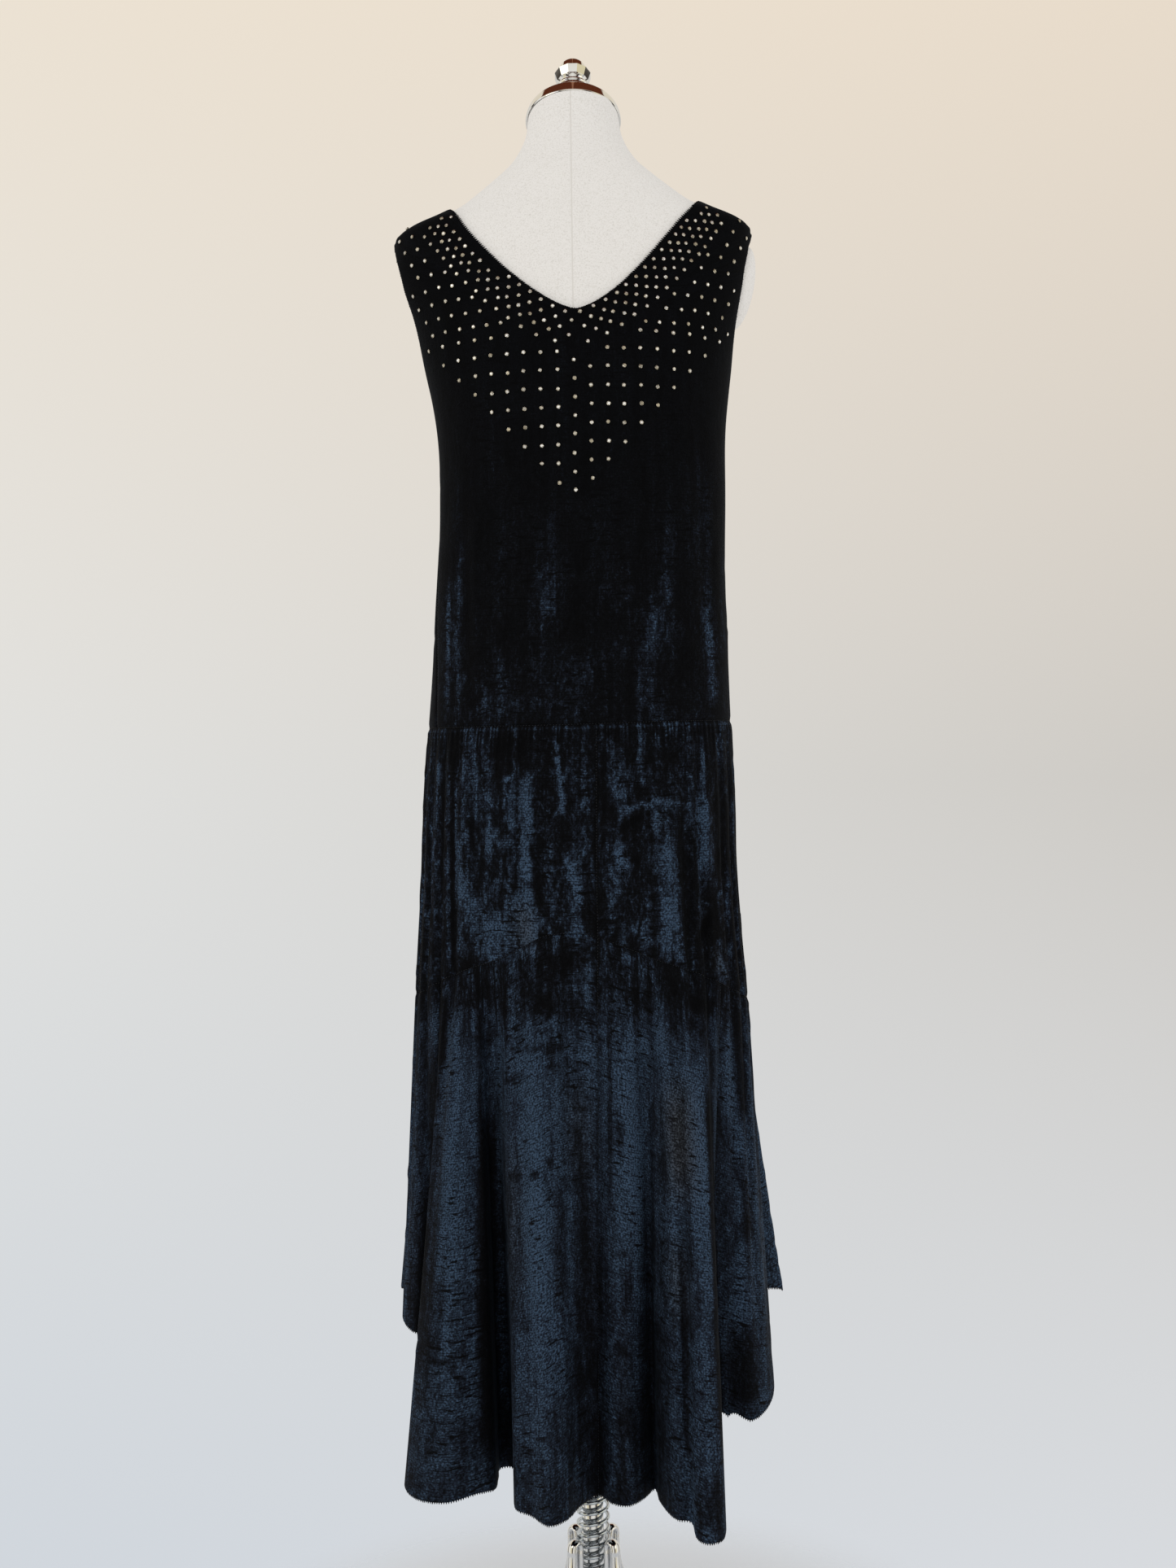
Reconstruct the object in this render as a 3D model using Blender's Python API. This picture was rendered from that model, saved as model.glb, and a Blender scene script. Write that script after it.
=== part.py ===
"""A sleeveless, drop-waisted velvet dress on a limbless dress form with a sprung stand.

Metres, +Z up. The back of the dress faces -Y and +X is to the right of a viewer who looks at
the back. The origin is on the floor, under the axis of the stand's post.

Angles go round the body in degrees: 0 is the centre back, 90 is +X, 180 is the centre front.
Every cloth panel is a wall whose outer points come from three functions: the figure (bodice),
the hip tier (figure plus soft side pleats) and the flounce (lines from its seam to its hem).
"""
import math

import bmesh
import bpy
import numpy as np

# ---- Cloth ----
WALL = 0.0015              # thickness of the velvet
SEAM_GAP = 0.0003          # between two panels at a seam
SIDE_TRIM = 0.0002         # a skirt panel's edge lies this far from the line of its side seam
SECTION_POWER = 2.2        # 2 is an ellipse, more is boxier

# The dress from its lower seam to the shoulders, and the form's neck above it.
# back and front are depths from the post's axis, shift is sideways, lean is forward.
FIGURE = (
    # height, half_width, back, front, shift, lean
    (0.700, 0.1790, 0.134, 0.125, -0.0040, 0.000),
    (0.760, 0.1765, 0.132, 0.122, -0.0045, 0.000),
    (0.820, 0.1722, 0.130, 0.119, -0.0050, 0.000),
    (0.890, 0.1680, 0.128, 0.117, -0.0050, 0.000),
    (0.950, 0.1665, 0.126, 0.116, -0.0040, 0.000),
    (1.000, 0.1640, 0.123, 0.115, -0.0030, 0.000),
    (1.045, 0.1605, 0.119, 0.114, -0.0020, 0.000),
    (1.100, 0.1575, 0.112, 0.110, -0.0005, 0.000),
    (1.160, 0.1550, 0.106, 0.107, 0.0005, 0.000),
    (1.210, 0.1530, 0.104, 0.109, 0.0020, 0.000),
    (1.260, 0.1520, 0.107, 0.114, 0.0040, 0.000),
    (1.310, 0.1520, 0.112, 0.119, 0.0045, 0.000),
    (1.350, 0.1535, 0.116, 0.120, 0.0040, 0.000),
    (1.390, 0.1585, 0.118, 0.116, 0.0030, 0.000),
    (1.430, 0.1660, 0.116, 0.107, 0.0010, 0.000),
    (1.470, 0.1750, 0.110, 0.097, -0.0005, 0.000),
    (1.506, 0.1852, 0.102, 0.086, -0.0025, 0.000),
    (1.535, 0.1900, 0.095, 0.077, -0.0030, 0.000),
    (1.558, 0.1900, 0.088, 0.069, -0.0020, 0.000),
    (1.571, 0.1790, 0.083, 0.065, 0.0000, 0.000),
    (1.581, 0.1560, 0.078, 0.062, 0.0000, 0.000),
    (1.592, 0.1320, 0.074, 0.060, 0.0000, 0.000),
    (1.609, 0.1075, 0.069, 0.058, 0.0000, 0.001),
    (1.624, 0.0890, 0.064, 0.056, 0.0000, 0.003),
    (1.636, 0.0755, 0.060, 0.054, 0.0000, 0.005),
    (1.650, 0.0640, 0.055, 0.053, 0.0000, 0.008),
    (1.665, 0.0560, 0.052, 0.052, 0.0000, 0.010),
    (1.690, 0.0515, 0.051, 0.051, 0.0000, 0.012),
)
SHOULDER_DROP = 0.005      # how much lower the left shoulder is
BUST = {"angle": 152, "height": 1.315, "swell": 0.009, "wide": 17, "tall": 0.055}

# ---- Seams and edges ----
HIP_SEAM = {"height": 1.037, "tilt": 0.002, "rise": 0.0035}  # higher on the right and in front
TIER_SEAM = (
    # angle, height: the arched seam between the hip tier and the flounce
    (-180, 0.790), (-130, 0.772), (-98, 0.758), (-80, 0.759), (-68, 0.770), (-54, 0.786),
    (-32, 0.806), (-14, 0.827), (-2, 0.829), (12, 0.821), (32, 0.801), (52, 0.782),
    (66, 0.765), (80, 0.752), (94, 0.746), (120, 0.764), (150, 0.782), (180, 0.790),
)
BACK_NECK = {"low": 1.454, "half_width": 0.135, "top": 1.590, "bend": 1.55}
FRONT_NECK = {"low": 1.502, "half_width": 0.135, "top": 1.590, "bend": 2.0}
ARMHOLE_ROW_HEIGHT = 1.478                             # armhole end of the row at the neck's low
SHOULDER_TIP = 1.5565
SIDE_EDGES = (
    # height, left_back, left_front, right_back, right_front: degrees from the centre back
    (1.000, 68, 68, 91, 91),
    (1.100, 75, 75, 91, 91),
    (1.200, 83, 83, 91, 91),
    (1.300, 90, 90, 90, 90),
    (1.393, 90, 90, 90, 90),
    (1.408, 86, 97, 86, 97),
    (1.430, 82, 104, 82, 104),
    (1.465, 80, 108, 80, 108),
    (1.505, 80, 107, 80, 107),
    (1.535, 82, 103, 82, 103),
    (1.549, 85.5, 97.5, 85.5, 97.5),
    (1.5565, 90, 90, 90, 90),
)
BODICE_ROWS_BELOW, BODICE_ROWS_ABOVE, BODICE_COLUMNS = 9, 11, 8
ROW_CROWDING = 1.35                                    # rows lie closer towards the shoulder

# Troughs between the soft side pleats of the hip tier.
HIP_PLEATS = (
    # angle_top, angle_bottom, depth, half_width in degrees
    (-78.0, -80.0, 0.0050, 3.2), (-70.5, -71.0, 0.0065, 3.2), (-63.0, -62.5, 0.0060, 3.0),
    (-55.5, -54.5, 0.0045, 3.2), (46.0, 47.5, 0.0040, 3.4), (53.5, 55.0, 0.0055, 3.2),
    (66.0, 67.5, 0.0050, 3.2), (74.0, 75.0, 0.0065, 3.0), (82.0, 83.0, 0.0050, 3.4),
    (118.0, 119.0, 0.0055, 4.0), (132.0, 131.0, 0.0035, 4.5), (-134.0, -133.0, 0.0040, 4.5),
    (-119.0, -121.0, 0.0055, 4.0),
)
HIP_ROWS = 6
HIP_PANELS = (
    # name, first_row, last_row: rows of the flounce's table, which both tiers' columns follow
    ("hip_back_right", 0, 17),
    ("hip_front", 17, 37.5),
    ("hip_back_left", 37.5, 56),
)

# Ridges and valleys of the flounce, round from the centre-back seam.
# seam_angle is where the fold starts, hem_* is where its line would meet the floor-side hem.
FLOUNCE = (
    # seam_angle, hem_x, hem_y, hem_z
    (8, 0.006, -0.082, 0.251),        # 0 centre-back seam, a valley
    (13, 0.021, -0.100, 0.250),
    (18, 0.035, -0.106, 0.250),       # ridge
    (23, 0.051, -0.090, 0.250),
    (27, 0.064, -0.066, 0.250),       # valley
    (31, 0.068, -0.096, 0.250),
    (36, 0.084, -0.140, 0.250),       # ridge
    (40, 0.097, -0.142, 0.248),
    (43, 0.101, -0.158, 0.240),
    (47, 0.111, -0.170, 0.239),       # lowest ridge
    (51, 0.127, -0.158, 0.238),
    (54, 0.132, -0.124, 0.243),
    (57, 0.124, -0.086, 0.250),
    (60, 0.118, -0.056, 0.262),       # 13 seam to the right side panel
    (65, 0.141, -0.060, 0.322),
    (71, 0.165, -0.062, 0.318),       # ridge
    (79, 0.186, -0.040, 0.326),
    (87, 0.195, 0.000, 0.338),        # ridge
    (93, 0.188, 0.030, 0.350),
    (98, 0.180, 0.052, 0.362),        # 19 seam to the front panel
    (104, 0.215, 0.080, 0.410),       # pointed corner
    (112, 0.176, 0.098, 0.420),
    (121, 0.170, 0.148, 0.405),       # ridge
    (131, 0.126, 0.134, 0.414),
    (141, 0.102, 0.184, 0.400),       # ridge
    (151, 0.064, 0.156, 0.408),
    (161, 0.032, 0.200, 0.396),       # ridge
    (171, 0.002, 0.164, 0.404),
    (181, -0.035, 0.202, 0.396),      # ridge
    (191, -0.068, 0.154, 0.405),
    (201, -0.108, 0.182, 0.398),      # ridge
    (212, -0.130, 0.132, 0.412),
    (224, -0.174, 0.140, 0.404),      # ridge
    (238, -0.178, 0.094, 0.420),
    (255, -0.208, 0.056, 0.427),      # ridge
    (266, -0.188, 0.020, 0.432),      # 35 seam to the left side panel
    (272, -0.199, -0.010, 0.419),
    (280, -0.197, -0.021, 0.413),     # ridge
    (287, -0.182, -0.036, 0.405),
    (292, -0.164, -0.030, 0.408),
    (297, -0.147, -0.038, 0.290),     # 40 seam to the left back panel
    (300, -0.174, -0.040, 0.268),
    (303, -0.195, -0.046, 0.254),     # left ridge, its edge
    (307, -0.181, -0.080, 0.250),
    (311, -0.147, -0.099, 0.253),     # left ridge
    (314, -0.119, -0.089, 0.257),
    (316, -0.101, -0.075, 0.256),
    (318, -0.098, -0.042, 0.254),
    (320, -0.097, -0.010, 0.252),     # deep valley
    (322, -0.086, -0.008, 0.252),
    (325, -0.080, -0.048, 0.252),
    (329, -0.077, -0.112, 0.251),
    (334, -0.061, -0.128, 0.251),
    (340, -0.043, -0.150, 0.250),     # ridge
    (347, -0.027, -0.138, 0.250),
    (354, -0.012, -0.104, 0.250),
)
FLOUNCE_PANELS = (
    # name, first_row, last_row, first_reach, last_reach: reach is the share of the line
    # that the panel's edge goes down to, where its neighbour hangs lower
    ("flounce_back_right", 0, 13, 1.00, 1.00),
    ("flounce_side_right", 13, 19, 0.87, 1.00),
    ("flounce_front", 19, 35, 0.83, 1.00),
    ("flounce_side_left", 35, 40, 1.00, 0.74),
    ("flounce_back_left", 40, 56, 1.00, 1.00),
)
FLOUNCE_ROWS, COLUMNS_PER_ROW = 7, 2

# ---- Dress form ----
FORM_BOTTOM, NECK_BASE, NECK_TOP, NECK_TILT = 0.8400, 1.640, 1.6865, 20.0
FORM_SLACK = (
    # height, slack: from the cloth's inside to the form
    (0.84, 0.014), (0.98, 0.007), (1.08, 0.014), (1.18, 0.022), (1.26, 0.010), (1.33, 0.003),
    (1.39, 0.0030), (1.45, 0.0026), (1.50, 0.0018), (1.54, 0.0015), (1.57, 0.0021),
    (1.60, 0.0018), (1.70, 0.0015),
)
FORM_COLUMNS, FORM_ROWS = 32, 25
# The form is cut off flat under each arm plate; seats and faces lean in towards the waist.
ARM_PLATE = {
    "height": 1.5055, "half_height": 0.0435, "middle": 0.006, "half_width": 0.031, "lean": 0.18,
    "left_seat": 0.1715, "right_seat": 0.1760, "left_thick": 0.0065, "right_thick": 0.0145,
    "gap": 0.0003, "bevel": 0.0025, "cut_from": 1.415,
}

# ---- Chrome neck cap and finial, turned about the tilted neck axis ----
CAP = ((0.0508, 0.0003), (0.0512, 0.0018), (0.0508, 0.0060), (0.0485, 0.0125), (0.0425, 0.0183),
       (0.0300, 0.0240), (0.0220, 0.0262))
FINIAL = (
    # radius, height above the cap
    (0.0200, 0.0003), (0.0206, 0.0028), (0.0188, 0.0068), (0.0176, 0.0088), (0.0206, 0.0120),
    (0.0208, 0.0146), (0.0186, 0.0168), (0.0164, 0.0182), (0.0182, 0.0202), (0.0182, 0.0218),
    (0.0150, 0.0240), (0.0136, 0.0260), (0.0150, 0.0282),
)
KNOB = ((0.0172, 0.0294), (0.0201, 0.0384), (0.0190, 0.0398))
KNOB_SIDES = 12
DOME = ((0.0155, 0.0418), (0.0150, 0.0464), (0.0125, 0.0512), (0.0080, 0.0550), (0.0030, 0.0570))
ROUND_SIDES = 24

# ---- Stand ----
POST_RADIUS, POST_BOTTOM, POST_TOP = 0.0110, 0.0950, FORM_BOTTOM - 0.0003
PLATE_RADIUS, PLATE_THICK = 0.045, 0.006
HUB_RADIUS, HUB_BORE, HUB_BOTTOM, HUB_TOP = 0.0186, 0.01108, 0.0140, 0.1350
COLLAR_RADIUS, COLLAR_BOTTOM, COLLAR_TOP, COLLAR_BORE = 0.0210, 0.3600, 0.3760, 0.01108
SPRING_RADIUS, SPRING_WIRE, SPRING_TURNS, SPRING_STEPS, SPRING_SIDES = 0.0160, 0.0020, 19, 9, 4
LEG_PATH = (
    # radius, height: the middle of the leg up the hub, round its bend and down to the foot
    (0.0222, 0.0600), (0.0222, 0.1100), (0.0222, 0.1625), (0.0222, 0.1697), (0.0237, 0.1734),
    (0.0274, 0.1749), (0.0311, 0.1734), (0.0326, 0.1697), (0.0326, 0.1625), (0.0332, 0.1500),
    (0.0352, 0.1370), (0.0430, 0.1200), (0.0620, 0.1010), (0.1000, 0.0780), (0.1550, 0.0560),
    (0.2150, 0.0395), (0.2560, 0.0310), (0.2680, 0.0125),
)
LEG_HALF_WIDTH, LEG_HALF_HEIGHT, LEG_SIDES, LEG_TURN = 0.0060, 0.0035, 8, 45.0
LEG_RINGS_PER_ROW = 2
FOOT_RADIUS, FOOT_TOP = 0.0150, 0.0122


# ---- Curves through tables ----
def smooth_slopes(knots, values):
    """Slopes of a round curve through every row."""
    step = np.diff(knots)
    rise = np.diff(values) / step
    slopes = np.empty(len(knots))
    slopes[1:-1] = (rise[:-1] * step[1:] + rise[1:] * step[:-1]) / (step[:-1] + step[1:])
    slopes[0], slopes[-1] = rise[0], rise[-1]
    return slopes


def level_slopes(knots, values):
    """Slopes that never let the curve pass a row's value on either side."""
    rise = np.diff(values) / np.diff(knots)
    slopes = smooth_slopes(knots, values)
    for i in range(1, len(knots) - 1):
        low, high = rise[i - 1], rise[i]
        if low * high <= 0:
            slopes[i] = 0.0
        else:
            limit = 3.0 * min(abs(low), abs(high))
            slopes[i] = math.copysign(min(abs(slopes[i]), limit), low)
    return slopes


def curve(knots, values, slopes, at):
    """The curve's value at one number or an array of them."""
    at = np.clip(at, knots[0], knots[-1])
    i = np.clip(np.searchsorted(knots, at, side="right") - 1, 0, len(knots) - 2)
    step = knots[i + 1] - knots[i]
    t = (at - knots[i]) / step
    start = values[i] * (1 + 2 * t) * (1 - t) ** 2 + slopes[i] * step * t * (1 - t) ** 2
    return start + values[i + 1] * t * t * (3 - 2 * t) + slopes[i + 1] * step * t * t * (t - 1)


class Table:
    """The columns of a table as curves of its first column."""

    def __init__(self, rows):
        columns = np.array(rows, float).T
        self.knots = columns[0]
        self.columns = columns[1:]
        self.slopes = [level_slopes(self.knots, column) for column in self.columns]

    def __call__(self, at, column=0):
        return curve(self.knots, self.columns[column], self.slopes[column], at)


figure_table = Table(FIGURE)
tier_seam_table = Table(TIER_SEAM)
side_edge_table = Table(SIDE_EDGES)
slack_table = Table(FORM_SLACK)


def wrapped(angle):
    return (np.asarray(angle, float) + 180.0) % 360.0 - 180.0


# ---- The dress's surfaces ----
def section_radius(angle, height):
    """Distance from the section's middle to the cloth."""
    turn = np.radians(angle)
    across, along = np.abs(np.sin(turn)), np.abs(np.cos(turn))
    half_width = figure_table(height, 0)
    depth = np.where(np.cos(turn) >= 0, figure_table(height, 1), figure_table(height, 2))
    power = SECTION_POWER
    radius = ((across / half_width) ** power + (along / depth) ** power) ** (-1.0 / power)
    for side in (-1, 1):
        off = wrapped(angle - side * BUST["angle"]) / BUST["wide"]
        up = (height - BUST["height"]) / BUST["tall"]
        radius = radius + BUST["swell"] * np.exp(-off ** 2 - up ** 2)
    return radius


def figure_point(angle, height):
    turn = np.radians(angle)
    radius = section_radius(angle, height)
    x = figure_table(height, 3) + radius * np.sin(turn)
    y = figure_table(height, 4) - radius * np.cos(turn)
    drop = SHOULDER_DROP * np.clip((height - 1.44) / 0.13, 0.0, 1.0) * np.clip(-x / 0.12, 0.0, 1.0)
    return np.stack([x, y, height - drop], axis=-1)


def unit(vectors):
    return vectors / np.linalg.norm(vectors, axis=-1, keepdims=True)


def figure_normal(angle, height):
    """Outward normal: level on the upright part, true over the shoulders."""
    small_turn, small_rise = 0.5, 0.0008
    across = figure_point(angle + small_turn, height) - figure_point(angle - small_turn, height)
    up = figure_point(angle, height + small_rise) - figure_point(angle, height - small_rise)
    normal = unit(np.cross(across, up))
    level = np.clip((np.asarray(height, float) - 1.30) / 0.12, 0.0, 1.0)
    normal[..., 2] *= level
    return unit(normal)


def hip_seam_height(angle):
    turn = np.radians(angle)
    return (HIP_SEAM["height"] + HIP_SEAM["tilt"] * np.sin(turn)
            + HIP_SEAM["rise"] * (1.0 - np.cos(turn)))


def tier_seam_height(angle):
    return tier_seam_table(wrapped(angle))


def hip_point(angle, height):
    """The hip tier: the figure, with troughs that deepen down to the tier's seam."""
    angle = np.asarray(angle, float)
    top, bottom = hip_seam_height(angle), tier_seam_height(angle)
    drop = np.clip((top - height) / (top - bottom), 0.0, 1.0)
    point = figure_point(angle, height)
    outward = point - figure_point(angle, height) * np.array([0.0, 0.0, 1.0])
    outward[..., 2] = 0.0
    outward = unit(outward)
    dip = np.zeros_like(point[..., 0])
    for angle_top, angle_bottom, depth, half_width in HIP_PLEATS:
        middle = angle_top + (angle_bottom - angle_top) * drop
        off = np.clip(np.abs(wrapped(angle - middle)) / half_width, 0.0, 1.0)
        dip = dip + depth * np.sqrt(drop) * np.cos(off * math.pi / 2) ** 2
    return point - outward * dip[..., None]


class Flounce:
    """Lines from the tier's seam to the hem, in order round the body."""

    def __init__(self):
        rows = np.array(FLOUNCE, float)
        rows = np.vstack([rows, rows[0]])
        rows[-1, 0] += 360.0
        reach = np.linalg.norm(np.diff(rows[:, 1:3], axis=0), axis=1)
        self.knots = np.concatenate([[0.0], np.cumsum(np.sqrt(reach))])
        self.angles = rows[:, 0]
        self.angle_slopes = level_slopes(self.knots, self.angles)
        self.hem = rows[:, 1:]
        self.hem_slopes = [self.closed_slopes(self.hem[:, axis]) for axis in range(3)]

    def closed_slopes(self, values):
        """Round slopes that also meet where the last row joins the first."""
        step = np.diff(self.knots)
        rise = np.diff(values) / step
        slopes = smooth_slopes(self.knots, values)
        ends = (rise[-1] * step[0] + rise[0] * step[-1]) / (step[0] + step[-1])
        slopes[0] = slopes[-1] = ends
        return slopes

    def angle(self, at):
        """Angle at which a line of the flounce leaves the tier's seam."""
        return curve(self.knots, self.angles, self.angle_slopes, at)

    def point(self, at, down):
        """at runs round by the table's knots, down from 0 at the seam to 1 at the hem."""
        at, down = np.broadcast_arrays(np.asarray(at, float), np.asarray(down, float))
        at = at % self.knots[-1]
        angle = self.angle(at)
        seam = hip_point(angle, tier_seam_height(angle))
        hem = [curve(self.knots, self.hem[:, axis], self.hem_slopes[axis], at)
               for axis in range(3)]
        return seam + (np.stack(hem, axis=-1) - seam) * down[..., None]

    def normal(self, at, down):
        small = 0.004
        along = self.point(at + small, down) - self.point(at - small, down)
        level = np.stack([along[..., 1], -along[..., 0], 0.0 * along[..., 0]], axis=-1)
        return unit(level)


flounce = Flounce()


def hip_normal(angle, height):
    small = 0.6
    along = hip_point(angle + small, height) - hip_point(angle - small, height)
    return unit(np.stack([along[..., 1], -along[..., 0], 0.0 * along[..., 0]], axis=-1))


# ---- Meshes ----
def make_material(name, color, roughness, metallic=0.0):
    material = bpy.data.materials.new(name)
    material.use_nodes = True
    shader = material.node_tree.nodes["Principled BSDF"]
    shader.inputs["Base Color"].default_value = (*color, 1.0)
    shader.inputs["Roughness"].default_value = roughness
    shader.inputs["Metallic"].default_value = metallic
    material.diffuse_color = (*color, 1.0)
    return material


def make_object(name, points, faces, material, smooth_angle=None, origin=(0.0, 0.0, 0.0)):
    """A closed mesh with its faces turned outward."""
    mesh = bpy.data.meshes.new(name)
    mesh.from_pydata([tuple(np.asarray(p) - np.array(origin)) for p in points], [], faces)
    work = bmesh.new()
    work.from_mesh(mesh)
    bmesh.ops.recalc_face_normals(work, faces=work.faces)
    work.to_mesh(mesh)
    work.free()
    mesh.validate()
    if smooth_angle is not None:
        mesh.shade_smooth()
        mesh.set_sharp_from_angle(angle=math.radians(smooth_angle))
    mesh.materials.append(material)
    item = bpy.data.objects.new(name, mesh)
    item.location = origin
    bpy.context.scene.collection.objects.link(item)
    return item


def split(points, quad):
    """Two triangles of a quad, cut along its shorter diagonal."""
    a, b, c, d = quad
    if np.linalg.norm(points[a] - points[c]) < np.linalg.norm(points[b] - points[d]):
        return [(a, b, c), (a, c, d)]
    return [(a, b, d), (b, c, d)]


def make_wall(name, outer, inner, quads, material):
    """A sheet given by its outer and inner points, closed round every free edge."""
    count = len(outer)
    points = np.concatenate([outer, inner])
    faces = []
    used = set()
    for quad in quads:
        # Both skins are cut along the same diagonal, so that a twisted quad keeps its thickness.
        halves = split(points, quad)
        faces += halves
        faces += [tuple(count + i for i in reversed(half)) for half in halves]
        used.update(zip(quad, quad[1:] + quad[:1]))
    for a, b in used:
        if (b, a) not in used:
            faces += split(points, (b, a, count + a, count + b))
    return make_object(name, points, faces, material, 40)


def grid_quads(rows, columns, number=None):
    """Quads between neighbouring rows and columns; number gives a point's place."""
    number = number or (lambda row, column: row * columns + column)
    return [
        (number(r, c), number(r, c + 1), number(r + 1, c + 1), number(r + 1, c))
        for r in range(rows - 1) for c in range(columns - 1)
    ]


def pulled_in(points, away, distance):
    """Points moved a little away from a seam that they share with a neighbour."""
    return points + unit(away) * distance


def strip_panel(name, outer, normal, material):
    """A wall on a grid of points: rows go down, and all four edges leave half a seam gap."""
    first = pulled_in(outer[:, 0], outer[:, 1] - outer[:, 0], SIDE_TRIM)
    last = pulled_in(outer[:, -1], outer[:, -2] - outer[:, -1], SIDE_TRIM)
    outer = outer.copy()
    outer[:, 0], outer[:, -1] = first, last
    outer[0, :, 2] -= SEAM_GAP / 2
    inner = outer - normal * WALL
    rows, columns = outer.shape[:2]
    quads = grid_quads(rows, columns)
    return make_wall(name, outer.reshape(-1, 3), inner.reshape(-1, 3), quads, material)


# ---- Bodice ----
def neck_height(across, neck):
    share = np.abs(across) / neck["half_width"]
    return neck["low"] + (neck["top"] - neck["low"]) * share ** neck["bend"]


def neck_edge_height(angle, neck, front):
    """Height at which the neckline crosses the line that goes up the body at this angle."""
    low, high = neck["low"], neck["top"]
    turn = math.sin(math.radians(angle))
    for _ in range(40):
        middle = (low + high) / 2
        across = float(section_radius(180.0 - angle if front else angle, middle)) * turn
        if neck_height(across, neck) > middle:
            low = middle
        else:
            high = middle
    return (low + high) / 2


def bodice_edge_angle(height, side, front):
    """Angle of the side seam or armhole from the panel's middle."""
    column = (0 if side < 0 else 2) + (1 if front else 0)
    angle = float(side_edge_table(height, column))
    return 180.0 - angle if front else angle


def bodice_rows(side, front):
    """Both ends of each row as (angle from the middle, height), hip seam to shoulder seam."""
    neck = FRONT_NECK if front else BACK_NECK
    rows = []
    for k in range(BODICE_ROWS_BELOW + 1):
        share = k / BODICE_ROWS_BELOW
        middle_angle = 180.0 if front else 0.0
        inner = float(hip_seam_height(middle_angle))
        inner += (neck["low"] - inner) * share
        outer_angle = bodice_edge_angle(1.04, side, front)
        outer = float(hip_seam_height(side * (180.0 - outer_angle if front else outer_angle)))
        outer += (ARMHOLE_ROW_HEIGHT - outer) * share
        rows.append((0.0, inner, bodice_edge_angle(outer, side, front), outer))
    for k in range(1, BODICE_ROWS_ABOVE + 1):
        share = k / BODICE_ROWS_ABOVE
        inner_angle = 90.0 * (1.0 - (1.0 - share) ** ROW_CROWDING)
        inner = neck_edge_height(inner_angle, neck, front)
        outer = ARMHOLE_ROW_HEIGHT + (SHOULDER_TIP - ARMHOLE_ROW_HEIGHT) * share
        rows.append((inner_angle, inner, bodice_edge_angle(outer, side, front), outer))
    return rows


def bodice_half(side, front):
    """Outer points and normals of half a bodice panel, from its middle to its side."""
    points, normals = [], []
    share = np.linspace(0.0, 1.0, BODICE_COLUMNS + 1)
    for row, (in_angle, in_height, out_angle, out_height) in enumerate(bodice_rows(side, front)):
        angle = in_angle + (out_angle - in_angle) * share
        height = in_height + (out_height - in_height) * share
        angle = side * (180.0 - angle) if front else side * angle
        if row == 0:
            height = hip_seam_height(angle) + SEAM_GAP / 2
        points.append(figure_point(angle, height))
        normals.append(figure_normal(angle, height))
    points, normals = np.array(points), np.array(normals)
    # Half a seam gap at the side seam and at the shoulder seam.
    points[:, -1] = pulled_in(points[:, -1], points[:, -2] - points[:, -1], SEAM_GAP / 2)
    points[-1, :, 1] += SEAM_GAP / 2 if front else -SEAM_GAP / 2
    return points, normals


def make_bodice(name, front, material):
    halves = {side: bodice_half(side, front) for side in (-1, 1)}
    rows, columns = halves[1][0].shape[:2]
    outer, normal, place = [], [], {}
    for side in (-1, 1):
        for row in range(rows):
            for column in range(columns):
                shared = column == 0 and row <= BODICE_ROWS_BELOW
                key = (0 if shared else side, row, column)
                if key not in place:
                    place[key] = len(outer)
                    outer.append(halves[side][0][row, column])
                    normal.append(halves[side][1][row, column])

    def number(side):
        def find(row, column):
            shared = column == 0 and row <= BODICE_ROWS_BELOW
            return place[(0 if shared else side, row, column)]
        return find

    quads = []
    for side in (-1, 1):
        half = grid_quads(rows, columns, number(side))
        turned = (side > 0) == front
        quads += [tuple(reversed(quad)) for quad in half] if turned else half
    outer, normal = np.array(outer), np.array(normal)
    return make_wall(name, outer, outer - normal * WALL, quads, material)


# ---- Hip tier and flounce ----
def column_places(first, last):
    """Places round the flounce's curve of the columns that both tiers share at their seam."""
    rows = np.arange(first, last + 0.01, 1.0 / COLUMNS_PER_ROW)
    return np.interp(rows, np.arange(len(flounce.knots)), flounce.knots)


def make_hip_panel(name, first, last, material):
    angle = flounce.angle(column_places(first, last))[None, :]
    down = np.linspace(0.0, 1.0, HIP_ROWS + 1)[:, None]
    top, bottom = hip_seam_height(angle), tier_seam_height(angle) + SEAM_GAP / 2
    height = top + (bottom - top) * down
    angle = np.repeat(angle, HIP_ROWS + 1, axis=0)
    outer, normal = hip_point(angle, height), hip_normal(angle, height)
    return strip_panel(name, outer, normal, material)


def make_flounce_panel(name, first, last, first_reach, last_reach, material):
    at = column_places(first, last)
    start = np.clip((at - at[0]) / (at[COLUMNS_PER_ROW] - at[0]), 0.0, 1.0)
    end = np.clip((at[-1] - at) / (at[-1] - at[-1 - COLUMNS_PER_ROW]), 0.0, 1.0)
    reach = (first_reach + (1.0 - first_reach) * start) * (last_reach + (1.0 - last_reach) * end)
    down = np.linspace(0.0, 1.0, FLOUNCE_ROWS + 1)[:, None] * reach[None, :]
    at = np.repeat(at[None, :], FLOUNCE_ROWS + 1, axis=0)
    outer, normal = flounce.point(at, down), flounce.normal(at, down)
    seam_angle = flounce.angle(at[0])
    normal[0] = hip_normal(seam_angle, tier_seam_height(seam_angle))
    return strip_panel(name, outer, normal, material)


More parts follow.
